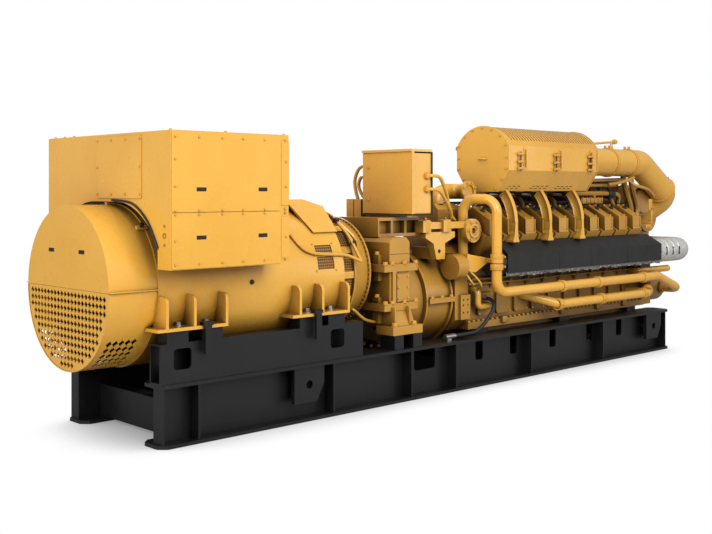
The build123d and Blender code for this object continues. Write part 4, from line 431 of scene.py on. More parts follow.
def swept(name, routes, radius, rings, steps):
    """Mesh of tubes on smooth curves between station points, or of bare lines where the radius is zero."""
    curve = bpy.data.curves.new(name, "CURVE")
    curve.dimensions = "3D"
    curve.bevel_depth = radius
    curve.bevel_resolution = rings
    curve.resolution_u = steps
    curve.use_fill_caps = True
    for route in routes:
        line = curve.splines.new("NURBS")
        line.points.add(len(route) - 1)
        for point, spot in zip(line.points, route):
            point.co = (*place(*spot), 1)
        line.order_u = 3
        line.use_endpoint_u = True
    holder = bpy.data.objects.new(name, curve)
    mesh = bpy.data.meshes.new_from_object(holder)
    bpy.data.objects.remove(holder)
    bpy.data.curves.remove(curve)
    mesh.materials.clear()
    mesh.name = name
    return mesh


def tubes(name, routes, radius, slot, finish=None):
    """Pipes or wires that follow smooth curves between station points."""
    return finished(name, swept(name, routes, radius, 2, 6), slot, finish)


def bolts(name, groups, slot, finish=None):
    """Bolt heads in groups of (points, axis, width across the flats)."""
    shape = bmesh.new()
    for points, axis, across in groups:
        for spot in points:
            outward = axis
            if axis == "side":
                outward = (0, 1 if spot[1] > 0 else -1, 0)
            bolt(shape, spot, outward, across)
    return piece(name, shape, slot, finish)


# Drain hose from the crankcase door down to the fitting on the base
HOSE_ROUTE = (
    (4.0505, -0.466, 0.8315), (4.0505, -0.672, 0.8315), (3.800, -0.632, 0.530), (3.550, -0.630, 0.516),
    (3.360, -0.630, 0.518),
)
HOSE_DIAMETER = 0.038


def drain_hose():
    """Rubber hose on its route with a plated collar at each end."""
    line = swept("hose_line", [HOSE_ROUTE], 0, 0, 16)
    tube = swept("drain_hose_rubber", [HOSE_ROUTE], HOSE_DIAMETER / 2, 4, 16)
    hose = finished("drain_hose_rubber", tube, "black_rubber", rubber)
    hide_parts("drain_hose")
    shape = bmesh.new()
    profile = ((0.0185, 0.0), (0.026, 0.0), (0.026, 0.022), (0.023, 0.026), (0.023, 0.05), (0.0185, 0.05))
    turned(shape, profile, HOSE_ROUTE[0], (0, -1, 0), 20)
    turned(shape, profile, HOSE_ROUTE[-1], (1, 0, 0), 20)
    collars = piece("hose_collars", shape, "plated_steel")


drain_hose()


# Terminal box
BOX_SIDE = 0.945
BOX_END = -0.061
BOX_ROOF = 2.377


def terminal_box_fittings():
    """Screws of the covers, end cover and roof, the black pull recesses and the cable holes."""
    columns = (-0.020, 0.189, 0.399, 0.593, 0.803, 1.013)
    rows = (2.331, 1.789, 1.759, 1.393)
    spots = [(x, -BOX_SIDE, z) for x in columns for z in rows]
    spots += [(x, -BOX_SIDE, z) for x in (-0.020, 1.017) for z in (2.166, 1.966, 1.568)]
    end = [(BOX_END, y, z) for y in (-0.53, -0.32, -0.11, 0.10) for z in (1.908, 2.328)]
    end += [(BOX_END, y, 2.118) for y in (-0.53, 0.10)]
    roof = [(-0.03, y, BOX_ROOF) for y in (0.86, 0.70, 0.54, -0.90)]
    roof += [(x, -0.915, BOX_ROOF) for x in (0.45, 1.02)]
    bolts(
        "terminal_box_screws",
        [(both_sides(spots), "side", 0.015), (end, (-1, 0, 0), 0.015), (roof, (0, 0, 1), 0.018)],
        *BRUSHED,
    )
    shape = bmesh.new()
    for side in SIDES:
        for x, z in ((0.2103, 1.944), (0.787, 1.944), (0.2103, 1.587), (0.787, 1.587)):
            tray(shape, (x, side * 0.9415, z), (0, side, 0), 0.086, 0.028)
        tray(shape, (-0.384, side * 0.239, 1.472), (-1, 0, 0), 0.084, 0.028)
    piece("pull_recesses", shape, *NYLON)
    shape = bmesh.new()
    for z, radius in ((1.675, 0.011), (1.604, 0.020), (1.534, 0.011)):
        profile = [(0.0, -0.004), (radius * 0.7, -0.004)]
        profile += [(radius * 0.75, 0.002), (radius, 0.002), (radius, -0.004)]
        turned(shape, profile, (-0.055, -0.858, z), (-1, 0, 0), 16)
    piece("cable_hole_grommets", shape, "black_rubber")


terminal_box_fittings()


# Generator
def foot_bolts():
    """Plated bolts of the generator feet and black plugs in the frame's flanks."""
    spots = []
    for rear in (-0.046, 1.251):
        spots += [(rear + x, -0.62, 0.905) for x in (0.13, 0.27, 0.53)]
    bolts("generator_foot_bolts", [(both_sides(spots), (0, 0, 1), 0.046)], "plated_steel")
    plug = [(0.905, -0.648, 1.196)]
    bolts("frame_earth_plugs", [(both_sides(plug), "side", 0.030)], *NYLON)


def frame_windows():
    """Screws round the screened windows of the generator frame."""
    heads = bmesh.new()
    for low, high in ((5.4, 17.0), (17.9, 26.3)):
        for angle in (low, high, 180 - low, 180 - high):
            for x in (1.605, 1.829):
                bolt(heads, *around(x, 0.649, angle), 0.014)
    piece("frame_window_screws", heads, *BRUSHED)


def bell_bolts():
    """Close ring of small bolts round the front rim of the bell."""
    shape = bmesh.new()
    for angle in range(0, 360, 5):
        bolt(shape, *around(2.378, 0.4845, angle), 0.015)
    piece("bell_rim_bolts", shape, *BRUSHED)


def hood_seal_strip():
    """Thin rubber strip along the near shoulder of the terminal box's arched cut-out."""
    arch = ((-0.125, 1.862), (-0.260, 1.860), (-0.440, 1.840))
    arch += ((-0.600, 1.745), (-0.700, 1.640), (-0.778, 1.510))
    near = [(-0.064, y, z) for y, z in arch]
    strip = tubes("hood_seal_strip", [near], 0.008, "black_rubber")
    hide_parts("hood_seal")


def cowl_side_sheets():
    """Flat side sheets of the outlet cowl that stand off the frame at their lower edge."""
    outline = (
        (1.533, 0.302, 1.858), (1.735, 0.302, 1.858), (1.930, 0.356, 1.795), (1.935, 0.545, 1.575),
        (1.655, 0.545, 1.575),
    )
    shape = bmesh.new()
    for side in SIDES:
        face = shape.faces.new([shape.verts.new(place(x, side * y, z)) for x, y, z in outline])
        bmesh.ops.recalc_face_normals(shape, faces=[face])
        bmesh.ops.solidify(shape, geom=[face], thickness=0.010)
    piece("outlet_cowl_side_sheets", shape, "yellow_enamel")


def hood_clips():
    """Turn clips with black knobs along the joint of hood and frame."""
    shape = bmesh.new()
    knobs = bmesh.new()
    profile = ((0.0, 0.0), (0.010, 0.0), (0.010, 0.016), (0.018, 0.018))
    profile += ((0.018, 0.030), (0.014, 0.034), (0.0, 0.034))
    for angle in (46.0, 90.0, 134.0):
        arc_plate(shape, (-0.045, 0.05), (0.638, 0.660), (angle - 1.4, angle + 1.4), 2)
        turned(knobs, profile, *around(-0.01, 0.660, angle), 12)
    piece("hood_clips", shape, *BRUSHED)
    piece("hood_clip_knobs", knobs, *NYLON)


HOOD_RADIUS = 0.640
HOOD_REAR = -0.381
HOOD_FRONT = 0.025
HOOD_SHEET = 0.008
HOOD_LAP = 0.006
GRILLE_PITCH = 0.054
GRILLE_TOP_ROW = -0.047
GRILLE_REACH = 0.602
FLANK_PITCH = 0.053
FLANK_FIRST = -0.311
FLANK_ROW = math.radians(6.2)
FLANK_TOP_ROW = math.radians(37.2)


def punched_sheet(columns, rows, holed, half_width, half_height):
    """Flat sheet on a grid of lines; the cells that are picked get a diamond hole."""
    shape = bmesh.new()
    bmesh.ops.create_grid(shape, x_segments=len(columns) - 1, y_segments=len(rows) - 1, size=1)
    for vert in shape.verts:
        across = round((vert.co.x + 1) / 2 * (len(columns) - 1))
        along = round((vert.co.y + 1) / 2 * (len(rows) - 1))
        vert.co = (columns[across], rows[along], 0)
    cells = [face for face in shape.faces if holed(face.calc_center_median())]
    bmesh.ops.inset_individual(shape, faces=cells, thickness=0.004)
    for cell in cells:
        middle = cell.calc_center_median()
        for vert in cell.verts:
            off = vert.co - middle
            turn = math.atan2(math.copysign(1, off.y), math.copysign(1, off.x)) + math.pi / 4
            vert.co = middle + Vector((half_width * math.cos(turn), half_height * math.sin(turn), 0))
    bmesh.ops.delete(shape, geom=cells, context="FACES_ONLY")
    return shape


def grille_wall():
    """End wall of the hood with its grille, cut to a half round."""
    columns = [-0.66] + [(number - 11) * GRILLE_PITCH for number in range(23)] + [0.66]
    rows = [-0.66] + [GRILLE_TOP_ROW - (number - 0.5) * GRILLE_PITCH for number in range(11, -1, -1)] + [0.0]
    wall = punched_sheet(
        columns,
        rows,
        lambda c: c.length < GRILLE_REACH and GRILLE_TOP_ROW + 0.01 > c.y > -GRILLE_REACH,
        0.0264,
        0.0262,
    )
    for number in range(41):
        turn = math.radians(180 + number * 4.5)
        out = Vector((math.cos(turn), math.sin(turn), 0))
        everything = wall.verts[:] + wall.edges[:] + wall.faces[:]
        bmesh.ops.bisect_plane(
            wall, geom=everything, dist=1e-6, plane_co=out * HOOD_RADIUS, plane_no=out, clear_outer=True
        )
    for vert in wall.verts:
        vert.co = place(HOOD_REAR, vert.co.x, SHAFT_Z + vert.co.y)
    return wall


def holed_flanks():
    """Half-round sheet of the hood with five rows of holes in each flank."""
    columns = [FLANK_FIRST + (number - 0.5) * FLANK_PITCH for number in range(6)]
    columns = [HOOD_REAR - HOOD_LAP, *columns, HOOD_FRONT]
    high = FLANK_TOP_ROW - FLANK_ROW / 2
    low = high + 5 * FLANK_ROW
    rows = [high * number / 8 for number in range(8)]
    rows += [high + FLANK_ROW * number for number in range(5)]
    rows += [low + (math.pi / 2 - low) * number / 6 for number in range(6)]
    rows += [math.pi / 2] + [math.pi - angle for angle in reversed(rows)]
    flank = punched_sheet(
        columns,
        rows,
        lambda c: columns[1] < c.x < columns[-2] and high < min(c.y, math.pi - c.y) < low,
        0.0258,
        FLANK_ROW * 0.48,
    )
    for vert in flank.verts:
        angle = vert.co.y
        vert.co = place(vert.co.x, -HOOD_RADIUS * math.cos(angle), SHAFT_Z - HOOD_RADIUS * math.sin(angle))
    return flank


def punched_hood():
    """Lower half of the end hood, with a dark sheet behind the holes of its near flank as painted shade seen
    through them.
    """
    wall = grille_wall()
    flank = holed_flanks()
    for sheet in (wall, flank):
        bmesh.ops.recalc_face_normals(sheet, faces=sheet.faces)
        bmesh.ops.solidify(sheet, geom=sheet.faces[:], thickness=HOOD_SHEET)
    joined = bpy.data.meshes.new("joined")
    wall.to_mesh(joined)
    wall.free()
    flank.from_mesh(joined)
    bpy.data.meshes.remove(joined)
    hood = piece("punched_hood", flank, "yellow_enamel", punched_enamel)
    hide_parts("hood_lower")
    # Dark sheet on the near side only: painted shade seen through the flank's holes.
    hole_shade_sheet = bmesh.new()
    arc_plate(hole_shade_sheet, (-0.345, 0.02), (0.606, 0.612), (-80.0, -28.0), 16)
    piece("hood_flank_shade_sheet", hole_shade_sheet, "black_satin_paint", black_nylon)


def fan_inside_hood():
    """Dark fan with raked blades behind the grille."""
    shape = bmesh.new()
    disc = ((0.0, 0.0), (0.56, 0.0), (0.57, 0.02), (0.57, 0.05), (0.55, 0.05), (0.54, 0.02))
    hub = ((0.16, 0.02), (0.12, 0.07), (0.0, 0.08))
    turned(shape, disc + hub, (-0.20, 0, SHAFT_Z), (-1, 0, 0), 48)
    blades = 14
    for number in range(blades):
        block(
            shape,
            Matrix.Translation(place(-0.25, 0, SHAFT_Z))
            @ Matrix.Rotation(math.radians(number * 360 / blades), 4, "X")
            @ Matrix.Translation((0, 0, 0.35))
            @ Matrix.Rotation(math.radians(35), 4, "Z")
            @ Matrix.Diagonal((0.09, 0.008, 0.36, 1)),
            0.003,
            1,
        )
    piece("cooling_fan", shape, "black_satin_paint", black_nylon)


def frame_conduits():
    """Thin yellow conduits on the frame's flank with their black clips."""
    routes = [
        [
            (1.398, -0.545, 1.560), (1.441, -0.606, 1.462), (1.560, -0.634, 1.398),
            (1.732, -0.637, 1.385), (1.934, -0.637, 1.376), (2.048, -0.640, 1.340),
            (2.135, -0.640, 1.305),
        ],
        [
            (1.978, -0.455, 1.680), (2.027, -0.535, 1.588), (2.062, -0.592, 1.492),
            (2.102, -0.634, 1.362), (2.136, -0.640, 1.309),
        ],
        [(1.997, -0.470, 1.660), (2.070, -0.540, 1.575), (2.121, -0.586, 1.497), (2.160, -0.560, 1.44)],
        [
            (2.235, -0.37, 0.86), (2.258, -0.41, 0.849), (2.316, -0.43, 0.785), (2.403, -0.44, 0.728),
            (2.54, -0.45, 0.707),
        ],
    ]
    tubes("frame_conduits", routes, 0.015, "yellow_enamel")
    shape = bmesh.new()
    for spot in ((1.985, -0.470, 1.668), (2.083, -0.592, 1.470)):
        slab(shape, [c - 0.022 for c in spot], [c + 0.022 for c in spot], 0.006)
    piece("conduit_clips", shape, *NYLON)


foot_bolts()
frame_windows()
bell_bolts()
hood_seal_strip()
cowl_side_sheets()
hood_clips()
punched_hood()
fan_inside_hood()
frame_conduits()


# Gearbox and flywheel
def gearbox_bolts():
    """Bolts of the split flange, panel, feet, flange and guard of the gearbox, and the ribs of its feet."""
    split = []
    for top in (1.254, 0.894):
        split += [(x, -0.611, top) for x in (2.47, 2.557, 2.716, 2.870)]
    boss = [(2.512, -0.46, top) for top in (1.342, 0.947)]
    panel = [(x, -0.611, z) for x in (2.640, 2.765) for z in (0.935, 1.035, 1.135)]
    foot = [(x, -0.665, 0.690) for x in (2.54, 2.79)]
    flange = [(x, -0.512, 0.884) for x in (3.212, 3.357, 3.493)]
    bolts(
        "gearbox_bolts",
        [
            (both_sides(split), (0, 0, 1), 0.040),
            (both_sides(boss), (0, 0, 1), 0.040),
            (both_sides(panel), "side", 0.020),
            (both_sides(foot), (0, 0, 1), 0.050),
            (both_sides(flange), (0, 0, 1), 0.034),
        ],
        *BRUSHED,
    )
    shape = bmesh.new()
    for x in (2.545, 2.735):
        twin_slabs(shape, (x - 0.008, 0.590, 0.690), (x + 0.008, 0.668, 0.860), 0.004)
    piece("gearbox_foot_ribs", shape, *CAST)
    ring = [around(2.8875, 0.455, number * 360 / 28, CRANK_Z)[0] for number in range(28)]
    bolts("guard_ring_bolts", [(ring, (-1, 0, 0), 0.026)], *BRUSHED)


gearbox_bolts()


# Engine
BANK_TILT = math.radians(30)
COVER_TOP = 0.962
COIL_OUT = -0.06
IGNITION_RAIL = (0.235, 1.80)
GAS_RAIL = (0.175, 1.73)
RETURN_PIPE = (0.05, 1.868)


def bank_point(out, up):
    """(y, z) in the right bank: out across the bank, up along the cylinders."""
    sine, cosine = math.sin(BANK_TILT), math.cos(BANK_TILT)
    return -out * cosine - up * sine, CRANK_Z - out * sine + up * cosine


def valve_gear():
    """Lips and bolts of the valve covers, ignition coils with their leads, and the rails in the valley."""
    lips = bmesh.new()
    coils = bmesh.new()
    heads = bmesh.new()
    leads = []
    coil = ((0.0, -0.01), (0.026, -0.01), (0.026, 0.012), (0.018, 0.02), (0.016, 0.05), (0.0, 0.052))
    for x in CYLINDER_STATIONS:
        twin_slabs(lips, (x - 0.086, 0.586, 1.478), (x + 0.086, 0.600, 1.500), 0.003)
        twin_slabs(lips, (x - 0.086, 0.586, 1.478), (x - 0.070, 0.598, 1.630), 0.003)
        twin_slabs(lips, (x + 0.070, 0.586, 1.478), (x + 0.086, 0.598, 1.630), 0.003)
        for side in SIDES:
            up = Vector((0, side * 0.5, 0.866))
            for across in (0.105, -0.125):
                y, z = bank_point(across, COVER_TOP)
                for shift in (-0.058, 0.058):
                    bolt(heads, (x + shift, -side * y, z), up, 0.022)
            y, z = bank_point(COIL_OUT, COVER_TOP)
            turned(coils, coil, (x, -side * y, z), up, 12)
            y, z = bank_point(COIL_OUT, 1.005)
            leads.append(
                [
                    (x, -side * y, z),
                    (x + 0.01, -side * (y + 0.02), z + 0.03),
                    (x + 0.05, side * 0.28, z + 0.01),
                    (x + 0.09, side * IGNITION_RAIL[0], IGNITION_RAIL[1]),
                ]
            )
    piece("valve_cover_lips", lips, *CAST)
    piece("valve_cover_bolts", heads, *BRUSHED)
    piece("ignition_coils", coils, *NYLON)
    tubes("ignition_leads", leads, 0.006, "black_rubber")
    rails = []
    gas = []
    for side in SIDES:
        rails.append([(x, side * IGNITION_RAIL[0], IGNITION_RAIL[1]) for x in (4.00, 5.5, 6.98)])
        gas.append([(x, side * GAS_RAIL[0], GAS_RAIL[1]) for x in (3.98, 5.5, 6.98)])
        for station in CYLINDER_STATIONS:
            x = station - 0.10
            foot = (x, side * GAS_RAIL[0], GAS_RAIL[1])
            gas.append([foot, (x, side * 0.24, 1.74), (x + 0.01, side * 0.30, 1.66)])
    tubes("ignition_rails", rails, 0.014, *NYLON)
    tubes("gas_rails", gas, 0.020, *CAST)


def pan_rail_bolts():
    """Bolts along the pan rail and at the corners of the crankcase doors."""
    rail = [(3.80 + number * 0.0748, -0.478, 0.600) for number in range(43)]
    doors = []
    for x in CYLINDER_STATIONS:
        doors += [(x + dx, -0.466, z) for dx in (-0.095, 0.095) for z in (0.672, 0.862)]
    bolts("pan_rail_bolts", [(both_sides(rail), (0, 0, 1), 0.024)], *BRUSHED)
    bolts("crankcase_door_bolts", [(both_sides(doors), "side", 0.020)], *BRUSHED)


def valley_manifold():
    """Water return pipe above the valley with its joints, runners and posts, and a ribbed block beside it."""
    pipe = [(x, *RETURN_PIPE) for x in (4.62, 5.8, 6.98, 7.12)]
    pipe += [(7.16, RETURN_PIPE[0], z) for z in (1.70, 1.38)]
    runners = []
    for x in CYLINDER_STATIONS[2:]:
        for side in SIDES:
            bend = [(x, side * 0.15 + 0.02, 1.885), (x, side * 0.27, 1.83), (x, side * 0.29, 1.64)]
            runners.append([(x, *RETURN_PIPE), *bend])
    tubes("water_return_manifold", [pipe], 0.078, *CAST)
    tubes("water_return_runners", runners, 0.026, *CAST)
    shape = bmesh.new()
    joint = ((0.076, -0.022), (0.100, -0.022), (0.100, -0.002), (0.096, 0.0))
    joint += ((0.100, 0.002), (0.100, 0.022), (0.076, 0.022))
    for x in CYLINDER_STATIONS[2:-1]:
        turned(shape, joint, (x + CYLINDER_PITCH / 2, *RETURN_PIPE), (1, 0, 0), 24)
    cap = ((0.0, -0.02), (0.098, -0.02), (0.104, -0.012), (0.104, 0.014), (0.0, 0.014))
    turned(shape, cap, pipe[0], (1, 0, 0), 24)
    for x in (4.75, 5.65, 6.55):
        slab(shape, (x - 0.02, -0.03, 1.54), (x + 0.02, 0.10, 1.84), 0.006)
    for x in (6.02, 6.10, 6.18, 6.26, 6.34, 6.42):
        slab(shape, (x, -0.335, 1.790), (x + 0.012, -0.235, 1.862), 0.002)
    slab(shape, (6.00, -0.330, 1.780), (6.45, -0.240, 1.850), 0.006)
    piece("water_return_joints", shape, *CAST)


valve_gear()
valley_manifold()
pan_rail_bolts()


# Controls and gas line
def control_fittings():
    """Conduits with gland nuts, the locks, gasket and back plate of the control box; the gasket's black edge
    also paints the shadow gap round the box.
    """
    routes = [
        [
            (2.976, -0.645, 2.072), (2.978, -0.700, 2.078), (3.111, -0.700, 2.074),
            (3.200, -0.665, 2.000), (3.283, -0.640, 1.902), (3.327, -0.620, 1.805),
            (3.415, -0.560, 1.716), (3.520, -0.500, 1.668), (3.600, -0.460, 1.640),
        ],
        [
            (2.976, -0.645, 1.946), (2.978, -0.700, 1.952), (3.111, -0.700, 1.941),
            (3.225, -0.665, 1.864), (3.356, -0.620, 1.756), (3.470, -0.540, 1.680),
            (3.510, -0.460, 1.640),
        ],
    ]
    for bend in (
        ((-0.013, 2.031), (0.10, 2.10), (0.17, 2.00), (0.12, 1.90), (0.07, 1.86)),
        ((-0.013, 2.173), (0.12, 2.20), (0.22, 2.06), (0.20, 1.92), (0.16, 1.84)),
    ):
        routes.append([(2.861, y, z) for y, z in bend])
    runs = tubes("control_conduit_runs", routes, 0.017, "yellow_enamel")
    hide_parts("control_conduits")
    shape = bmesh.new()
    for z in (2.072, 1.946):
        bolt(shape, (2.976, -0.650, z), (0, -1, 0), 0.052)
    lock = ((0.0, 0.0), (0.016, 0.0), (0.016, 0.006), (0.009, 0.008), (0.009, 0.014), (0.0, 0.014))
    for z in (1.85, 2.16):
        turned(shape, lock, (2.770, -0.08, z), (-1, 0, 0), 12)
    piece("gland_nuts_and_locks", shape, *BRUSHED)
    # Black rubber gasket standing proud of the box: partly a real seal, partly painted shadow for the dark
    # gap round the box.
    shape = bmesh.new()
    slab(shape, (3.043, -0.664, 1.705), (3.055, 0.001, 2.301), 0.002)
    slab(shape, (2.770, -0.664, 1.704), (3.050, -0.001, 1.719), 0.002)
    piece("control_box_gasket_and_shadow_gap", shape, "black_rubber")
    shape = bmesh.new()
    slab(shape, (3.052, -0.650, 1.722), (3.062, -0.013, 2.288), 0.003)
    piece("control_box_back_plate", shape, "yellow_enamel")


def gas_line_fittings():
    """Flange bolts of the gas inlet, bosses of the gas valve and the ring on its round cover."""
    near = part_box("gas_inlet")[0][1]
    spots = []
    for number in range(8):
        turn = math.radians(number * 45 + 22.5)
        spots.append((3.983 + 0.095 * math.cos(turn), near, 1.927 + 0.095 * math.sin(turn)))
    for number in range(6):
        turn = math.radians(number * 60)
        spots.append((3.813 + 0.098 * math.cos(turn), -0.530, 1.530 + 0.098 * math.sin(turn)))
    bolts("gas_line_bolts", [(spots, (0, -1, 0), 0.020)], *BRUSHED)
    shape = bmesh.new()
    ring = ((0.045, 0.0), (0.078, 0.0), (0.072, 0.016), (0.052, 0.016))
    turned(shape, ring, (3.813, -0.530, 1.530), (0, -1, 0), 28)
    boss = ((0.0, 0.0), (0.046, 0.0), (0.050, 0.006), (0.050, 0.116), (0.044, 0.124), (0.0, 0.124))
    for x in (3.135, 3.430):
        turned(shape, boss, (x, -0.490, 1.528), (0, 0, 1), 20)
        bolt(shape, (x, -0.490, 1.650), (0, 0, 1), 0.034)
    piece("gas_valve_bosses", shape, "yellow_enamel")


control_fittings()
gas_line_fittings()


# Air cleaner and duct
DUCT_Y = -0.325


def air_cleaner_fittings():
    """Cap bolts, grab handle, lifting eye and latch knuckles of the air cleaner, with a black strip behind
    the knuckles as painted shade in their gaps.
    """
    rim = [(0.0, 2.592)]
    half = ((0.13, 2.572), (0.24, 2.505), (0.315, 2.405), (0.325, 2.280))
    half += ((0.322, 2.165), (0.262, 2.055), (0.175, 1.955))
    for y, z in half:
        rim += [(y, z), (-y, z)]
    caps = [(4.196, DUCT_Y + y, z) for y, z in rim]
    ends = [(5.814, y, z) for _, y, z in caps if abs(y - DUCT_Y) > 0.2]
    bolts(
        "air_cleaner_cap_bolts",
        [(caps, (-1, 0, 0), 0.020), (ends, (1, 0, 0), 0.020)],
        *BRUSHED,
    )
    grab = [(4.20, -0.385, 2.267), (4.158, -0.385, 2.267), (4.158, -0.285, 2.267), (4.20, -0.285, 2.267)]
    tubes("air_cleaner_grab", [grab], 0.008, "yellow_enamel")
    shape = bmesh.new()
    latch_gap_shade = bmesh.new()
    eye = ((0.016, -0.006), (0.028, -0.006), (0.028, 0.006), (0.016, 0.006))
    turned(shape, eye, (4.215, 0.030, 2.385), (1, 0, 0), 16)
    knuckle = ((0.0, -0.040), (0.014, -0.040), (0.014, 0.040), (0.0, 0.040))
    for x in (4.373, 5.000, 5.640):
        # Black strip behind the knuckles: painted shade in the gaps between them.
        slab(latch_gap_shade, (x - 0.007, -0.698, 2.140), (x + 0.007, -0.690, 2.340), 0.002)
        for z in (2.165, 2.235, 2.315):
            turned(shape, knuckle, (x, -0.700, z), (1, 0, 0), 12)
    piece("air_cleaner_eye_and_knuckles", shape, *BRUSHED)
    piece("air_cleaner_latch_gap_shade", latch_gap_shade, *NYLON)


STRAP_STATIONS = (4.3425, 4.9405, 5.5385)
STRAP_HALF_WIDTH = 0.026
STRAP_FACES = (-0.660, -0.562)
STRAP_SPRING = 1.600
STRAP_BOW_RADIUS = 0.520


def strap_bows():
    """Cast straps with dished sides that bow up from flared feet to the air cleaner."""
    shape = bmesh.new()
    for x in STRAP_STATIONS:
        corners = (
            (x - STRAP_HALF_WIDTH, STRAP_FACES[0]),
            (x + STRAP_HALF_WIDTH, STRAP_FACES[0]),
            (x + STRAP_HALF_WIDTH, STRAP_FACES[1]),
            (x - STRAP_HALF_WIDTH, STRAP_FACES[1]),
        )
        verts = [shape.verts.new(place(along, y, STRAP_SPRING)) for along, y in corners]
        face = shape.faces.new(verts)
        bmesh.ops.spin(
            shape,
            geom=[face] + list(face.edges) + verts,
            cent=place(x, STRAP_FACES[0] + STRAP_BOW_RADIUS, STRAP_SPRING),
            axis=(1, 0, 0),
            angle=-math.radians(42),
            steps=12,
        )
        for level, flare in ((1.500, 1.0), (1.450, 1.25), (1.418, 1.9), (1.400, 1.9)):
            low = bmesh.ops.extrude_face_region(shape, geom=[face])["geom"]
            face = next(part for part in low if isinstance(part, bmesh.types.BMFace))
            for vert in face.verts:
                vert.co.z = level
                off = vert.co.x - x + MID_LENGTH
                vert.co.x = x - MID_LENGTH + math.copysign(STRAP_HALF_WIDTH * flare, off)
    bmesh.ops.recalc_face_normals(shape, faces=shape.faces)
    sides = [f for f in shape.faces if abs(f.normal.x) > 0.98 and f.calc_center_median().z > 1.49]
    bmesh.ops.inset_region(shape, faces=sides, thickness=0.016, depth=-0.010)
    bows = piece("air_cleaner_strap_bows", shape, "yellow_enamel")
    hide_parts("air_cleaner_straps")


def charge_air_housing():
    """Charge-air housing, compressor casing, bars under the duct and stay of the elbow."""
    shape = bmesh.new()
    slab(shape, (5.98, -0.10, 1.900), (7.16, 0.34, 2.060), 0.020)
    slab(shape, (6.20, 0.00, 1.560), (7.10, 0.25, 1.920), 0.030)
    slab(shape, (5.94, -0.14, 1.972), (7.20, 0.38, 1.996), 0.004)
    for x in (6.10, 6.30, 6.50, 6.70, 6.90):
        slab(shape, (x - 0.008, -0.125, 1.915), (x + 0.008, 0.0, 2.050), 0.003)
    casing = ((0.0, -0.23), (0.150, -0.23), (0.150, -0.19), (0.185, -0.19), (0.205, -0.12), (0.212, 0.0))
    casing += ((0.205, 0.12), (0.185, 0.19), (0.150, 0.20), (0.150, 0.23), (0.0, 0.23))
    turned(shape, casing, (7.62, 0.02, 1.800), (0.2, 1, 0), 40)
    slab(shape, (7.10, -0.05, 1.760), (7.62, 0.25, 1.980), 0.030)
    piece("charge_air_housing", shape, *CAST)
    bars = [
        [(5.80, -0.30, 2.055), (6.40, -0.30, 2.055), (6.95, -0.30, 2.075)],
        [(5.80, -0.27, 1.995), (6.30, -0.27, 1.995), (6.80, -0.27, 2.000)],
        [(6.45, -0.40, 2.010), (6.70, -0.42, 2.020), (6.95, -0.44, 2.100)],
        [
            (6.85, -0.42, 2.080), (6.90, -0.46, 2.000), (7.05, -0.47, 1.985), (7.30, -0.46, 1.940),
            (7.40, -0.45, 1.86),
        ],
    ]
    tubes("duct_shelf_bars", bars, 0.020, *CAST)
    shape = bmesh.new()
    for number in range(12):
        bolt(shape, (6.02 + number * 0.105, -0.12, 1.996), (0, 0, 1), 0.024)
    slab(shape, (7.255, -0.470, 1.690), (7.335, -0.455, 1.830), 0.004)
    slab(shape, (7.305, -0.470, 1.500), (7.345, -0.455, 1.720), 0.004)
    slab(shape, (7.180, -0.470, 1.470), (7.345, -0.455, 1.515), 0.004)
    slab(shape, (7.290, -0.460, 1.520), (7.330, -0.200, 1.550), 0.004)
    piece("elbow_stay", shape, *BRUSHED)


def duct_fittings():
    """Clamp bands with tension bolts on the duct and elbow, and the breather bar above them."""
    shape = bmesh.new()
    band = ((0.1645, -0.021), (0.175, -0.021), (0.178, -0.013))
    band += ((0.178, 0.013), (0.175, 0.021), (0.1645, 0.021))
    for x in (6.5425, 6.9745):
        turned(shape, band, (x, DUCT_Y, 2.275), (1, 0, 0), 48)
        slab(shape, (x - 0.018, -0.360, 2.448), (x + 0.018, -0.345, 2.480), 0.003)
        slab(shape, (x - 0.018, -0.305, 2.448), (x + 0.018, -0.290, 2.480), 0.003)
        bolt(shape, (x, -0.360, 2.466), (0, -1, 0), 0.018)
    bands = piece("duct_clamp_bands", shape, *BRUSHED)
    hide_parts("duct_bands")
    shape = bmesh.new()
    seat = ((0.160, -0.022), (0.182, -0.016), (0.184, 0.0), (0.182, 0.016), (0.160, 0.022))
    turned(shape, seat, (7.793, DUCT_Y, 1.941), (0.853, 0, -0.521), 48)
    slab(shape, (7.875, -0.362, 2.060), (7.925, -0.342, 2.115), 0.004)
    slab(shape, (7.875, -0.308, 2.060), (7.925, -0.288, 2.115), 0.004)
    stud = ((0.0, 0.0), (0.012, 0.0), (0.012, 0.10), (0.022, 0.10), (0.022, 0.128), (0.0, 0.128))
    turned(shape, stud, (7.890, DUCT_Y, 2.070), (1, 0, -0.15), 12)
    piece("elbow_clamp", shape, *BRUSHED)
    bar = [
        [(5.80, -0.30, 2.455), (6.20, -0.30, 2.490), (6.74, -0.30, 2.530)],
        [(6.66, -0.30, 2.525), (6.66, -0.31, 2.48), (6.66, -0.325, 2.43)],
    ]
    tubes("breather_bar", bar, 0.014, "yellow_enamel")
    shape = bmesh.new()
    knob = ((0.0, -0.03), (0.026, -0.03), (0.030, -0.02), (0.030, 0.02), (0.026, 0.03), (0.0, 0.03))
    turned(shape, knob, (6.74, -0.30, 2.53), (1, 0, 0.075), 16)
    piece("breather_knob", shape, *BRUSHED)


air_cleaner_fittings()
strap_bows()
charge_air_housing()
duct_fittings()


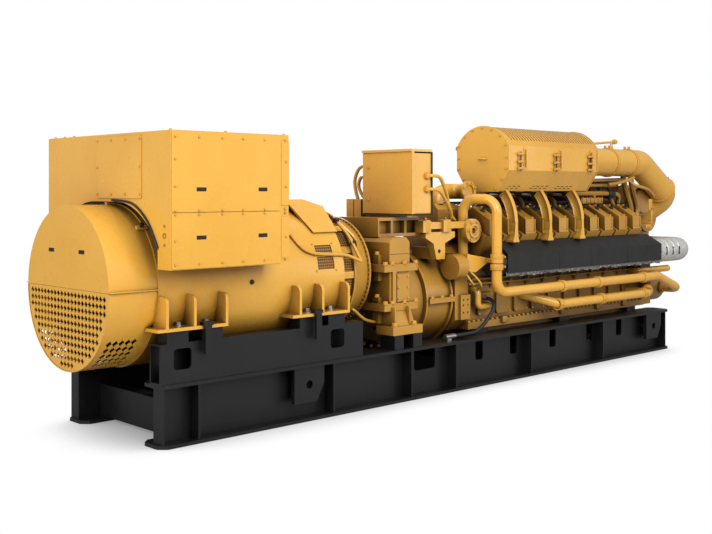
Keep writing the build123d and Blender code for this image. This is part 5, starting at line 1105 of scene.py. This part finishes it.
# Exhaust and engine flank
def foil_skirt():
    """Crumpled foil below each exhaust shield, seams of the shields and straps of the lagging."""
    for side, name in ((-1, "right"), (1, "left")):
        shape = bmesh.new()
        matrix = (
            Matrix.Translation(place(5.64, side * 0.684, 1.080))
            @ Matrix.Rotation(math.radians(90), 4, "X")
            @ Matrix.Diagonal((1.50, 0.026, 1, 1))
        )
        bmesh.ops.create_grid(shape, x_segments=300, y_segments=4, size=1, matrix=matrix)
        for vert in shape.verts:
            hang = max(0.0, 1.106 - vert.co.z) / 0.052
            vert.co.y += side * (noise.noise(vert.co * 30) * 0.016 + noise.noise(vert.co * 90) * 0.010) * hang
            vert.co.z += noise.noise(Vector((vert.co.x * 14, side * 3.0, 0.5))) * 0.016 * hang
        # The skirt takes the darker copy of the foil as painted shade under the shield.
        piece("foil_skirt_" + name, shape, "exhaust_insulation", shaded_foil)
    shape = bmesh.new()
    for x in (5.056, 5.667, 6.40):
        twin_slabs(shape, (x - 0.009, 0.699, 1.094), (x + 0.009, 0.703, 1.288), 0.0015)
    piece("shield_seams", shape, "black_satin_paint", shield_coat)
    shape = bmesh.new()
    for x in (7.25, 7.40, 7.55):
        twin_slabs(shape, (x - 0.008, 0.712, 1.145), (x + 0.008, 0.722, 1.245), 0.003)
    piece("lagging_straps", shape, *NYLON)


def flank_pipes():
    """Small lines on the engine's flank and front, pump inlets, vent pipe with its coupling, and pan lugs."""
    stub = [[(6.80, -0.43, 0.97), (6.82, -0.60, 0.97), (7.10, -0.61, 0.97), (7.45, -0.61, 0.97)]]
    front = [
        [
            (6.93, -0.30, 2.14), (7.033, -0.26, 1.965), (7.139, -0.25, 1.825), (7.197, -0.25, 1.696),
            (7.21, -0.25, 1.39),
        ],
        [
            (7.09, -0.30, 2.14), (7.209, -0.26, 1.940), (7.304, -0.25, 1.811), (7.352, -0.25, 1.668),
            (7.23, -0.25, 1.39),
        ],
    ]
    tubes("front_breather_pipes", front, 0.036, *CAST)
    tubes("water_stub_pipe", stub, 0.040, "yellow_enamel")
    elbow = (
        (6.70, 0.750, 0.719), (6.79, 0.750, 0.719), (6.86, 0.690, 0.770), (7.00, 0.560, 0.780),
        (7.20, 0.480, 0.740), (7.34, 0.460, 0.720),
    )
    elbows = [[(x, side * y, z) for x, y, z in elbow] for side in SIDES]
    tubes("pump_inlet_elbows", elbows, 0.050, *CAST)
    lines = []
    for side in SIDES:
        lines.append([(x, side * 0.462, 1.03) for x in (3.85, 5.4, 6.98)])
        for station in CYLINDER_STATIONS:
            x = station + 0.11
            lines.append([(x, side * 0.43, 0.93), (x, side * 0.49, 0.98), (x, side * 0.50, 1.12)])
    tubes("oil_return_lines", lines, 0.017, *CAST)
    wires = [
        [(3.58, -0.60, 1.14), (3.66, -0.66, 1.00), (3.73, -0.60, 0.99), (3.78, -0.43, 1.06)],
        [(3.58, -0.57, 1.20), (3.72, -0.68, 1.06), (3.80, -0.66, 0.94), (3.90, -0.45, 0.93)],
    ]
    for side in SIDES:
        sag = ((3.80, 0.985), (4.6, 0.975), (5.5, 0.99), (6.98, 0.98))
        wires.append([(x, side * 0.475, z) for x, z in sag])
    tubes("flank_conduits", wires, 0.010, "yellow_enamel")
    shape = bmesh.new()
    barrel = ((0.0, -0.06), (0.040, -0.06), (0.052, -0.05), (0.052, 0.05), (0.040, 0.06), (0.0, 0.06))
    turned(shape, barrel, (6.66, -0.29, 1.90), (1, 0, 0), 20)
    piece("pipe_coupling", shape, "black_rubber")
    run = [
        [(5.70, -0.29, 1.90), (6.2, -0.29, 1.90), (6.64, -0.29, 1.90)],
        [(6.68, -0.29, 1.90), (6.86, -0.29, 1.90), (6.90, -0.24, 1.78), (6.90, -0.22, 1.60)],
        [(6.30, -0.29, 1.90), (6.30, -0.285, 1.78), (6.30, -0.28, 1.64)],
    ]
    tubes("coolant_vent_pipe", run, 0.030, *CAST)
    shape = bmesh.new()
    for x in (4.321, 5.354, 6.054, 6.607):
        twin_slabs(shape, (x - 0.040, 0.490, 0.560), (x + 0.040, 0.532, 0.625), 0.006)
    piece("pan_rail_lugs", shape, *CAST)


def pipe_joints():
    """Grooved couplings on the coolant pipes and the bolted clamp on the riser."""
    shape = bmesh.new()
    coupling = ((0.050, -0.03), (0.064, -0.03), (0.066, -0.02), (0.066, 0.02), (0.064, 0.03), (0.050, 0.03))
    for side in SIDES:
        for x in (4.95, 5.761, 6.645):
            turned(shape, coupling, (x, side * 0.750, 0.719), (1, 0, 0), 24)
            bolt(shape, (x, side * 0.816, 0.719), (0, side, 0), 0.018)
        turned(shape, coupling, (6.800, side * 0.715, 0.745), (0.6, -side * 0.6, 0.5), 24)
    for z in (1.17, 1.27):
        turned(shape, coupling, (3.908, -0.750, z), (0, 0, 1), 24)
        slab(shape, (3.958, -0.790, z - 0.014), (3.990, -0.710, z + 0.014), 0.004)
        bolt(shape, (3.978, -0.790, z), (0, -1, 0), 0.020)
    piece("pipe_couplings", shape, *BRUSHED)


foil_skirt()
flank_pipes()
pipe_joints()


# Floor, world and lamps
FLOOR_HALF = 60
SKY_STRENGTH = 0.46


def studio():
    """White floor that keeps a soft contact shadow, even sky and five large lamps."""
    shape = bmesh.new()
    bmesh.ops.create_grid(shape, x_segments=1, y_segments=1, size=FLOOR_HALF)
    mesh = bpy.data.meshes.new("floor")
    shape.to_mesh(mesh)
    shape.free()
    floor = bpy.data.objects.new("floor", mesh)
    bpy.context.collection.objects.link(floor)
    material, tree = new_material("white_studio_floor")
    shade = add(tree, "ShaderNodeAmbientOcclusion", {"Distance": 0.9, "samples": 16}, {})
    white = two_tone(tree, shade.outputs["AO"], 0.15, 0.75, "8A8A8A", "FFFFFF")
    glow = add(tree, "ShaderNodeEmission", {"Strength": 1.0}, {"Color": white}).outputs[0]
    matt = add(tree, "ShaderNodeBsdfDiffuse", {"Color": linear("A8A8A8")}, {}).outputs[0]
    seen = add(tree, "ShaderNodeLightPath", {}, {}).outputs["Is Camera Ray"]
    pick = add(tree, "ShaderNodeMixShader", {}, {0: seen, 1: matt, 2: glow})
    add(tree, "ShaderNodeOutputMaterial", {}, {"Surface": pick.outputs[0]})
    mesh.materials.append(material)

    world = bpy.data.worlds.new("studio")
    bpy.context.scene.world = world
    world.use_nodes = True
    tree = world.node_tree
    tree.nodes.clear()
    rays = add(tree, "ShaderNodeLightPath", {}, {}).outputs
    seen = sums(tree, "MAXIMUM", rays["Is Camera Ray"], rays["Is Transmission Ray"])
    white = linear("FFFFFF")
    sky = add(tree, "ShaderNodeBackground", {"Color": white, "Strength": SKY_STRENGTH}, {}).outputs[0]
    back = add(tree, "ShaderNodeBackground", {"Color": white, "Strength": 1.0}, {}).outputs[0]
    pick = add(tree, "ShaderNodeMixShader", {}, {0: seen, 1: sky, 2: back})
    add(tree, "ShaderNodeOutputWorld", {}, {"Surface": pick.outputs[0]})

    for name, spot, aim, size, power in (
        ("key", (-3.0, -9.0, 6.0), (-1.0, 0.0, 1.2), 6.0, 670.0),
        ("top", (-0.5, -0.5, 8.5), (0.0, 0.0, 1.0), 7.0, 130.0),
        ("fill", (-14.0, -3.0, 5.0), (-1.0, 0.0, 1.2), 6.0, 760.0),
        ("back", (6.0, 9.0, 6.0), (0.5, 0.0, 1.2), 6.0, 380.0),
        ("side", (8.0, -9.0, 3.0), (3.4, -0.4, 1.5), 5.0, 110.0),
    ):
        lamp = bpy.data.lights.new(name, "AREA")
        lamp.shape = "SQUARE"
        lamp.size = size
        lamp.energy = power
        holder = bpy.data.objects.new(name, lamp)
        holder.location = spot
        holder.rotation_euler = (Vector(aim) - Vector(spot)).to_track_quat("-Z", "Y").to_euler()
        bpy.context.collection.objects.link(holder)


studio()
